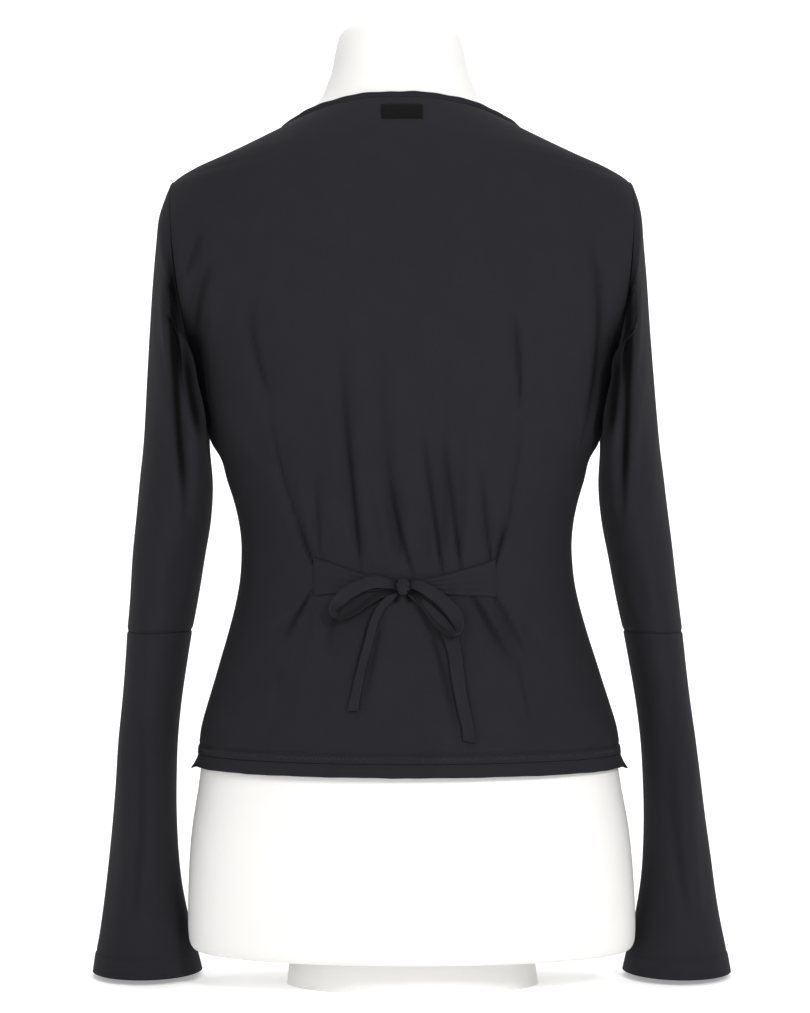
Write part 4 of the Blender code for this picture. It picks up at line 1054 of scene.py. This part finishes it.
LOOP_LEFT = [Band(-7.6, 312.0, 3.0, 6.0, -10), Band(-15.0, 314.0, 4.2, 8.4, -8), Band(-26.0, 314.8, 5.4, 10.0, -5),
             Band(-39.0, 309.0, 6.4, 10.6, 0), Band(-49.4, 300.4, 7.4, 10.0, 20), Band(-54.0, 292.4, 7.6, 9.0, 60),
             Band(-49.6, 287.4, 6.8, 8.4, 62), Band(-40.0, 291.0, 5.4, 8.0, 48), Band(-31.0, 298.0, 4.6, 7.6, 42),
             Band(-21.0, 304.6, 4.0, 7.0, 36), Band(-12.0, 308.0, 3.4, 6.0, 30), Band(-7.0, 309.6, 3.0, 5.0, 20)]
LOOP_RIGHT = [Band(0.6, 313.0, 3.0, 6.0, 10), Band(8.0, 312.4, 4.2, 8.4, 8), Band(17.6, 307.0, 5.4, 10.0, 5),
              Band(28.0, 298.0, 6.4, 10.8, 0), Band(35.6, 287.0, 7.4, 10.6, -20), Band(36.8, 277.4, 7.6, 9.0, -60),
              Band(30.6, 275.0, 6.8, 8.4, -62), Band(23.0, 281.0, 5.6, 8.0, -48), Band(16.6, 290.0, 4.8, 7.6, -42),
              Band(10.6, 299.0, 4.0, 7.0, -36), Band(5.6, 305.6, 3.4, 6.0, -30), Band(1.0, 309.6, 3.0, 5.0, -20)]
TIE_COLUMNS, TIE_LINES = 60, 28
PLEATS = [(0.22, 0.10, 0.9), (0.48, 0.09, 1.1), (0.73, 0.10, 0.8)]


def build_tie(name, node, table):
    """One end of the tie: flat and sewn in at the dart, pleated towards the knot."""
    rows = smooth_rows(np.array(table), np.linspace(0.0, len(table) - 1.0, TIE_COLUMNS))
    share = np.linspace(0.0, 1.0, TIE_LINES)
    x = np.repeat(rows[:, 0][:, None], TIE_LINES, axis=1)
    height = rows[:, [2]] + (rows[:, [1]] - rows[:, [2]]) * share
    place, normal = on_body(x, height, True)
    toward = np.linspace(0.0, 1.0, TIE_COLUMNS)[:, None]
    lift = 0.5 + 1.1 * np.clip(toward * 9.0, 0.0, 1.0) * np.sqrt(np.clip(np.minimum(share, 1 - share) * 14, 0, 1))
    crush = 0.25 + 0.75 * toward ** 1.3
    for middle, width, depth in PLEATS:
        lift = lift + crush * depth * (1.1 - 2.0 * np.exp(-((share - middle) / width) ** 2)) * 0.6
    lift = lift + 1.6 * np.clip((toward - 0.8) / 0.2, 0.0, 1.0) * np.sin(np.pi * share)
    points = place + normal * np.maximum(lift, 0.35)[..., None]
    points = points.transpose(1, 0, 2)
    if table[0].x > 0:
        points = points[:, ::-1]
    # Painted shade: the tie's colour darkens close to the knot and in the valleys of its pleats.
    painted_shade = 0.8 * np.clip((toward - 0.84) / 0.12, 0.0, 1.0) + 0.0 * share
    for middle, width, _ in PLEATS:
        painted_shade = painted_shade + 0.5 * toward ** 2 * np.exp(-((share - middle) / (width * 0.5)) ** 2)
    painted_shade = painted_shade.T if table[0].x < 0 else painted_shade.T[:, ::-1]
    tie = grid_piece(name, points, jersey, thick=0.9, painted_shade=painted_shade)
    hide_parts(node)
    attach(tie, "root")
    return tie


def build_band(name, node, table, thickness, cut=0.0):
    """A narrow tube of cloth pressed flat along a path over the back."""
    path = smooth_rows(np.array(table), np.linspace(0.0, len(table) - 1.0, 8 * len(table)))
    place, normal = on_body(path[:, 0], path[:, 1], True)
    middle = place + normal * path[:, [2]]
    along = np.gradient(middle, axis=0)
    along /= np.linalg.norm(along, axis=-1, keepdims=True)
    across = np.cross(along, normal)
    across /= np.linalg.norm(across, axis=-1, keepdims=True)
    out = np.cross(across, along)
    out *= np.where((out * normal).sum(axis=-1) < 0, -1, 1)[:, None]
    turn = np.radians(path[:, [4]])
    across, out = across * np.cos(turn) + out * np.sin(turn), out * np.cos(turn) - across * np.sin(turn)
    steps = np.linspace(0.0, 1.0, len(path))
    width = path[:, 3] * (1.0 - 0.05 * np.sin(steps * 19.0) ** 2)
    angle = np.linspace(0.0, 2.0 * np.pi, 20, endpoint=False)
    square = np.sign(np.cos(angle)) * np.abs(np.cos(angle)) ** 0.6
    flat = np.sign(np.sin(angle)) * np.abs(np.sin(angle)) ** 0.8
    fold = -0.18 * np.exp(-(square / 0.3) ** 2) * (flat > 0)
    points = (middle[:, None] + across[:, None] * (square[None] * width[:, None] / 2)[..., None]
              + out[:, None] * ((flat + fold)[None] * thickness / 2)[..., None])
    is_loop = 0.0 if cut else 1.0
    if cut:
        points[-1] += along[-1] * (square * cut)[:, None]
    # Painted shade: the band's colour darkens where it goes under the knot and, on a loop, along its returning strand
    # and the end that meets the knot.
    ends = np.exp(-(steps / 0.05) ** 2) + is_loop * (0.4 * (steps > 0.52) + np.exp(-((1.0 - steps) / 0.12) ** 2))
    band = grid_piece(name, points, jersey, closed=True, capped=True,
                      painted_shade=np.repeat(0.9 * ends[:, None], 20, axis=1))
    band.data.set_sharp_from_angle(angle=np.radians(60))
    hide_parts(node)
    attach(band, "root")
    return band


def build_knot():
    """The knot: the tube wrapped once over itself, so that two slanting folds show."""
    place, normal = on_body(KNOT.x, KNOT.height, True)
    across = np.cross([0.0, 0.0, 1.0], normal)
    across /= np.linalg.norm(across)
    up = np.cross(normal, across)
    polar = np.linspace(0.08, np.pi - 0.08, 30)[:, None]
    turn = np.linspace(0.0, 2.0 * np.pi, 44, endpoint=False)[None, :]
    a, b, c = np.sin(polar) * np.cos(turn), -np.cos(polar) + 0 * turn, np.sin(polar) * np.sin(turn)
    slope = b + 0.35 * a
    groove = 0.16 * np.exp(-((slope - 0.32) / 0.11) ** 2) + 0.13 * np.exp(-((slope + 0.38) / 0.10) ** 2)
    size = 1.0 - groove * (c < 0.4)
    points = (place + normal * KNOT.lift
              + across * (a * size * KNOT_SIZE[0])[..., None] + up * (b * size * KNOT_SIZE[1])[..., None]
              - normal * (c * size * KNOT_SIZE[2])[..., None])
    knot = grid_piece("bow_knot_wrap", points, jersey, closed=True, capped=True)
    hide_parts("bow_knot")
    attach(knot, "root")
    return knot


tie_pieces = [build_tie("tie_end_left", "tie_left", TIE_LEFT),
              build_tie("tie_end_right", "tie_right", TIE_RIGHT)]
bow_pieces = [build_knot(),
              build_band("tail_short", "bow_tail_left", TAIL_LEFT, 1.6, 1.0),
              build_band("tail_long", "bow_tail_right", TAIL_RIGHT, 1.6, -1.4),
              build_band("loop_small", "bow_loop_left", LOOP_LEFT, 1.8),
              build_band("loop_large", "bow_loop_right", LOOP_RIGHT, 1.8)]

# The stitching
# The hem is sewn with a small puckered row and a zigzag that holds its edge; the cuffs have
# one row. Each row is a Geometry Nodes tree that lays a thread at every mark on its path.
HEM_STITCH, CUFF_STITCH_LENGTH, ZIGZAG_LENGTH = 2.4, 2.6, 3.0
THREAD_RADIUS, ZIGZAG_LOW, ZIGZAG_HIGH = 0.24, 182.2, 184.6


def stitch_tree(name, radius, finish):
    """A tree that lays one straight thread at each point, along its "along" attribute."""
    tree = bpy.data.node_groups.new(name, "GeometryNodeTree")
    tree.interface.new_socket("Marks", in_out="INPUT", socket_type="NodeSocketGeometry")
    thickness = tree.interface.new_socket("Thread radius", in_out="INPUT", socket_type="NodeSocketFloat")
    tree.interface.new_socket("Threads", in_out="OUTPUT", socket_type="NodeSocketGeometry")
    inlet = tree.nodes.new("NodeGroupInput")
    marks, size = Socket(tree, inlet.outputs[0]), Socket(tree, inlet.outputs[1])
    along = add_node(tree, "GeometryNodeInputNamedAttribute", {"data_type": "FLOAT_VECTOR"}, {"Name": "along"})
    length = add_node(tree, "ShaderNodeVectorMath", {"operation": "LENGTH"}, {0: along}, output=1)
    turn = add_node(tree, "FunctionNodeAlignRotationToVector", {"axis": "Z"}, {"Vector": along})
    thread = add_node(tree, "GeometryNodeMeshCylinder", inputs={"Vertices": 6, "Radius": 1.0, "Depth": 1.0})
    scale = add_node(tree, "ShaderNodeCombineXYZ", inputs={"X": size, "Y": size, "Z": length})
    laid = add_node(tree, "GeometryNodeInstanceOnPoints", inputs={
        "Points": marks, "Instance": thread, "Rotation": turn, "Scale": scale})
    real = add_node(tree, "GeometryNodeRealizeInstances", inputs={"Geometry": laid})
    done = add_node(tree, "GeometryNodeSetMaterial", inputs={"Geometry": real, "Material": finish})
    tree.links.new(done.output, tree.nodes.new("NodeGroupOutput").inputs[0])
    return tree, thickness.identifier


def build_stitches(name, centres, along, radius, finish):
    """One row of stitches as a plain mesh; centres and directions are in mm."""
    mesh = bpy.data.meshes.new(name + "_marks")
    mesh.from_pydata(standing(centres).tolist(), [], [])
    mesh.attributes.new("along", "FLOAT_VECTOR", "POINT").data.foreach_set("vector", (along * MM).ravel())
    marks = bpy.data.objects.new(name + "_marks", mesh)
    bpy.context.scene.collection.objects.link(marks)
    tree, identifier = stitch_tree(name + "_row", radius * MM, finish)
    laid = marks.modifiers.new("row", "NODES")
    laid.node_group = tree
    laid[identifier] = radius * MM
    ready = marks.evaluated_get(bpy.context.evaluated_depsgraph_get())
    row = bpy.data.objects.new(name, bpy.data.meshes.new_from_object(ready))
    bpy.data.objects.remove(marks)
    bpy.context.scene.collection.objects.link(row)
    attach(row, "root")
    return row


def spaced(path, pitch):
    """Points at an even pitch along a path in mm."""
    gone = np.concatenate(([0.0], np.cumsum(np.linalg.norm(np.diff(path, axis=0), axis=1))))
    places = np.arange(0.0, gone[-1], pitch)
    return np.stack([np.interp(places, gone, path[:, k]) for k in range(3)], axis=1)


def hem_path(height, lift):
    """A line over the back at a height by the hem, a little off the body."""
    x = np.sin(np.linspace(-1.0, 1.0, 241) * np.pi / 2) * (on_edge(height) - 2.4)
    points, normals = on_body(x, height, True)
    return points + normals * lift


def on_edge(height):
    """The body's half width at a height near the hem."""
    return float(np.interp(height, [level.height for level in LEVELS], [level.half_width for level in LEVELS]))


def sewn_row(name, path, pitch, share, radius, finish):
    """A straight row: each thread covers a share of its pitch."""
    ends = spaced(path, pitch)
    return build_stitches(name, (ends[1:] + ends[:-1]) / 2, (ends[1:] - ends[:-1]) * share, radius, finish)


thread_dark = new_material("thread_dark", (0.006, 0.006, 0.007), 0.9)[0]
thread_pale = new_material("thread_pale", (0.026, 0.026, 0.030), 0.9)[0]


def build_hem_stitches():
    """The hem's row and its zigzag, over the back."""
    row = sewn_row("hem_stitches", hem_path(HEM_STITCH_Z, HEM_FOLD - 0.35), HEM_STITCH, 0.7, THREAD_RADIUS, thread_dark)
    low, high = spaced(hem_path(ZIGZAG_LOW, 0.55), ZIGZAG_LENGTH), spaced(hem_path(ZIGZAG_HIGH, 0.55), ZIGZAG_LENGTH)
    count = min(len(low), len(high))
    zigzag = np.where((np.arange(count) % 2 == 0)[:, None], low[:count], high[:count])
    middle, leg = (zigzag[1:] + zigzag[:-1]) / 2, zigzag[1:] - zigzag[:-1]
    count = np.arange(len(leg))
    showing = (np.sin(count * 0.37) + np.sin(count * 0.143 + 2.0)) > -0.7
    leg *= (0.35 + 0.4 * np.sin(count * 2.7) ** 2)[:, None]
    legs = build_stitches("hem_zigzag", middle[showing], leg[showing], THREAD_RADIUS * 0.7, thread_pale)
    return [row, legs]


def build_cuff_stitches(name, side):
    """One row round a cuff."""
    places = np.interp(CUFF_STITCH, [4.3, 18.0], [0.0, 1.0])
    ring = sleeve_points(LOWER_SLEEVE, [places], side, SLEEVE_COLUMNS)
    ring = np.repeat(ring, 3, axis=0) + np.array([-0.5, 0.0, 0.5])[:, None, None] * [0, 0, 1]
    normals = outward(ring, closed=True)[1]
    path = ring[1] - normals * 0.25
    return sewn_row(name, np.concatenate((path, path[:1])), CUFF_STITCH_LENGTH, 0.7, THREAD_RADIUS, thread_dark)


hem_stitches = build_hem_stitches()
cuff_stitches = [build_cuff_stitches("cuff_stitches_left", -1), build_cuff_stitches("cuff_stitches_right", 1)]

# The neck label
# A small woven patch below the nape, blank, sewn down along its two short ends.
LABEL_X, LABEL_Z, LABEL_WIDTH, LABEL_HEIGHT = 1.0, 671.0, 31.0, 12.0


def label_material():
    """Black woven tape, a little glossier than the jersey, with fine ribs."""
    finish, tree, shader = new_material("label_tape", (0.0025, 0.0025, 0.003), 1.0)
    shader.inputs["Specular IOR Level"].default_value = 0.15
    cloth = add_node(tree, "ShaderNodeUVMap", {"uv_map": "cloth"})
    across = add_node(tree, "ShaderNodeSeparateXYZ", inputs={"Vector": cloth})
    rib = add_node(tree, "ShaderNodeMath", {"operation": "SINE"}, {0: across * 9000.0})
    bump = add_node(tree, "ShaderNodeBump", inputs={"Height": rib, "Strength": 0.3, "Distance": 0.0001})
    tree.links.new(bump.output, shader.inputs["Normal"])
    return finish


def build_label():
    """The patch follows the back and is pulled down at its sewn ends."""
    across, upward = np.linspace(-0.5, 0.5, 33), np.linspace(-0.5, 0.5, 13)
    x = np.repeat((LABEL_X + LABEL_WIDTH * across)[None, :], 13, axis=0)
    z = np.repeat((LABEL_Z + LABEL_HEIGHT * upward)[:, None], 33, axis=1)
    place, normal = on_body(x, z, True)
    lift = 0.95 - 0.5 * np.exp(-((np.abs(across) - 0.46) / 0.025) ** 2)[None, :] + 0.15 * np.cos(upward * 6)[:, None]
    label = grid_piece("blank_label", place + normal * lift[..., None], label_material(), thick=0.5)
    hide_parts("neck_label")
    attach(label, "root")
    return label


label_piece = build_label()

# The buttons
# Small dished buttons on the upper front's edge, sewn on through four holes.
BUTTON_COUNT, BUTTON_LOWEST, BUTTON_HIGHEST = 6, 196.0, 474.0
BUTTON_PROFILE = [(0.0, 0.0), (4.6, 0.0), (5.2, 0.3), (5.5, 0.9), (5.5, 1.7), (5.2, 2.2), (4.9, 2.4),
                  (4.5, 2.4), (4.1, 2.2), (3.8, 1.9), (3.0, 1.75), (0.0, 1.7)]
BUTTON_SIDES = 48


def lathe(profile, sides):
    """Points and faces of a turned body, mm; the first and last profile points are its poles."""
    angle = np.linspace(0.0, 2.0 * np.pi, sides, endpoint=False)
    rings = np.array([[(r * np.cos(a), r * np.sin(a), h) for a in angle] for r, h in profile[1:-1]])
    points = np.concatenate((rings.reshape(-1, 3), [(0, 0, profile[0][1]), (0, 0, profile[-1][1])]))
    faces = []
    for k in range(sides):
        nxt = (k + 1) % sides
        faces += [(i * sides + k, i * sides + nxt, (i + 1) * sides + nxt, (i + 1) * sides + k)
                  for i in range(len(rings) - 1)]
        faces.append((len(points) - 2, nxt, k))
        faces.append((len(points) - 1, (len(rings) - 1) * sides + k, (len(rings) - 1) * sides + nxt))
    return points, faces


def build_button(index, finish, thread):
    """One button with its crossed threads."""
    height = BUTTON_LOWEST + (BUTTON_HIGHEST - BUTTON_LOWEST) * index / (BUTTON_COUNT - 1)
    place, normal = on_body(0.0, height, False)
    across = np.array([1.0, 0.0, 0.0])
    up = np.cross(normal, across)
    seat = place + normal * (LAP_LIFT + 0.4)
    turn = np.array([across, up, normal])
    points, faces = lathe(BUTTON_PROFILE, BUTTON_SIDES)
    marks, angle = [], 0.4 + 0.5 * index
    for direction in (angle, angle + np.pi / 2):
        line = np.array([np.cos(direction), np.sin(direction), 0.0])
        side = np.array([-line[1], line[0], 0.0]) * 0.28
        lift = np.array([0.0, 0.0, 1.0])
        first = len(points)
        ends = [line * -1.7 + lift * 1.75, line * -1.0 + lift * 2.15, line * 1.0 + lift * 2.15,
                line * 1.7 + lift * 1.75]
        points = np.concatenate((points, [end + side for end in ends], [end - side for end in ends]))
        strip = [(first + k, first + k + 1, first + k + 5, first + k + 4) for k in range(3)]
        marks += range(len(faces), len(faces) + 3)
        faces += [face[::-1] for face in strip]
    mesh = bpy.data.meshes.new(f"sewn_button_{index + 1}")
    mesh.from_pydata(standing(seat + points @ turn).tolist(), [], faces)
    mesh.materials.append(finish)
    mesh.materials.append(thread)
    for mark in marks:
        mesh.polygons[mark].material_index = 1
    mesh.shade_smooth()
    mesh.set_sharp_from_angle(angle=np.radians(40))
    button = bpy.data.objects.new(f"sewn_button_{index + 1}", mesh)
    bpy.context.scene.collection.objects.link(button)
    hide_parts(f"button_{index + 1}")
    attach(button, "root")
    return button


horn = new_material("button_horn", (0.014, 0.013, 0.013), 0.32)[0]
thread_black = new_material("button_thread", (0.012, 0.012, 0.013), 0.8)[0]
button_pieces = [build_button(index, horn, thread_black) for index in range(BUTTON_COUNT)]
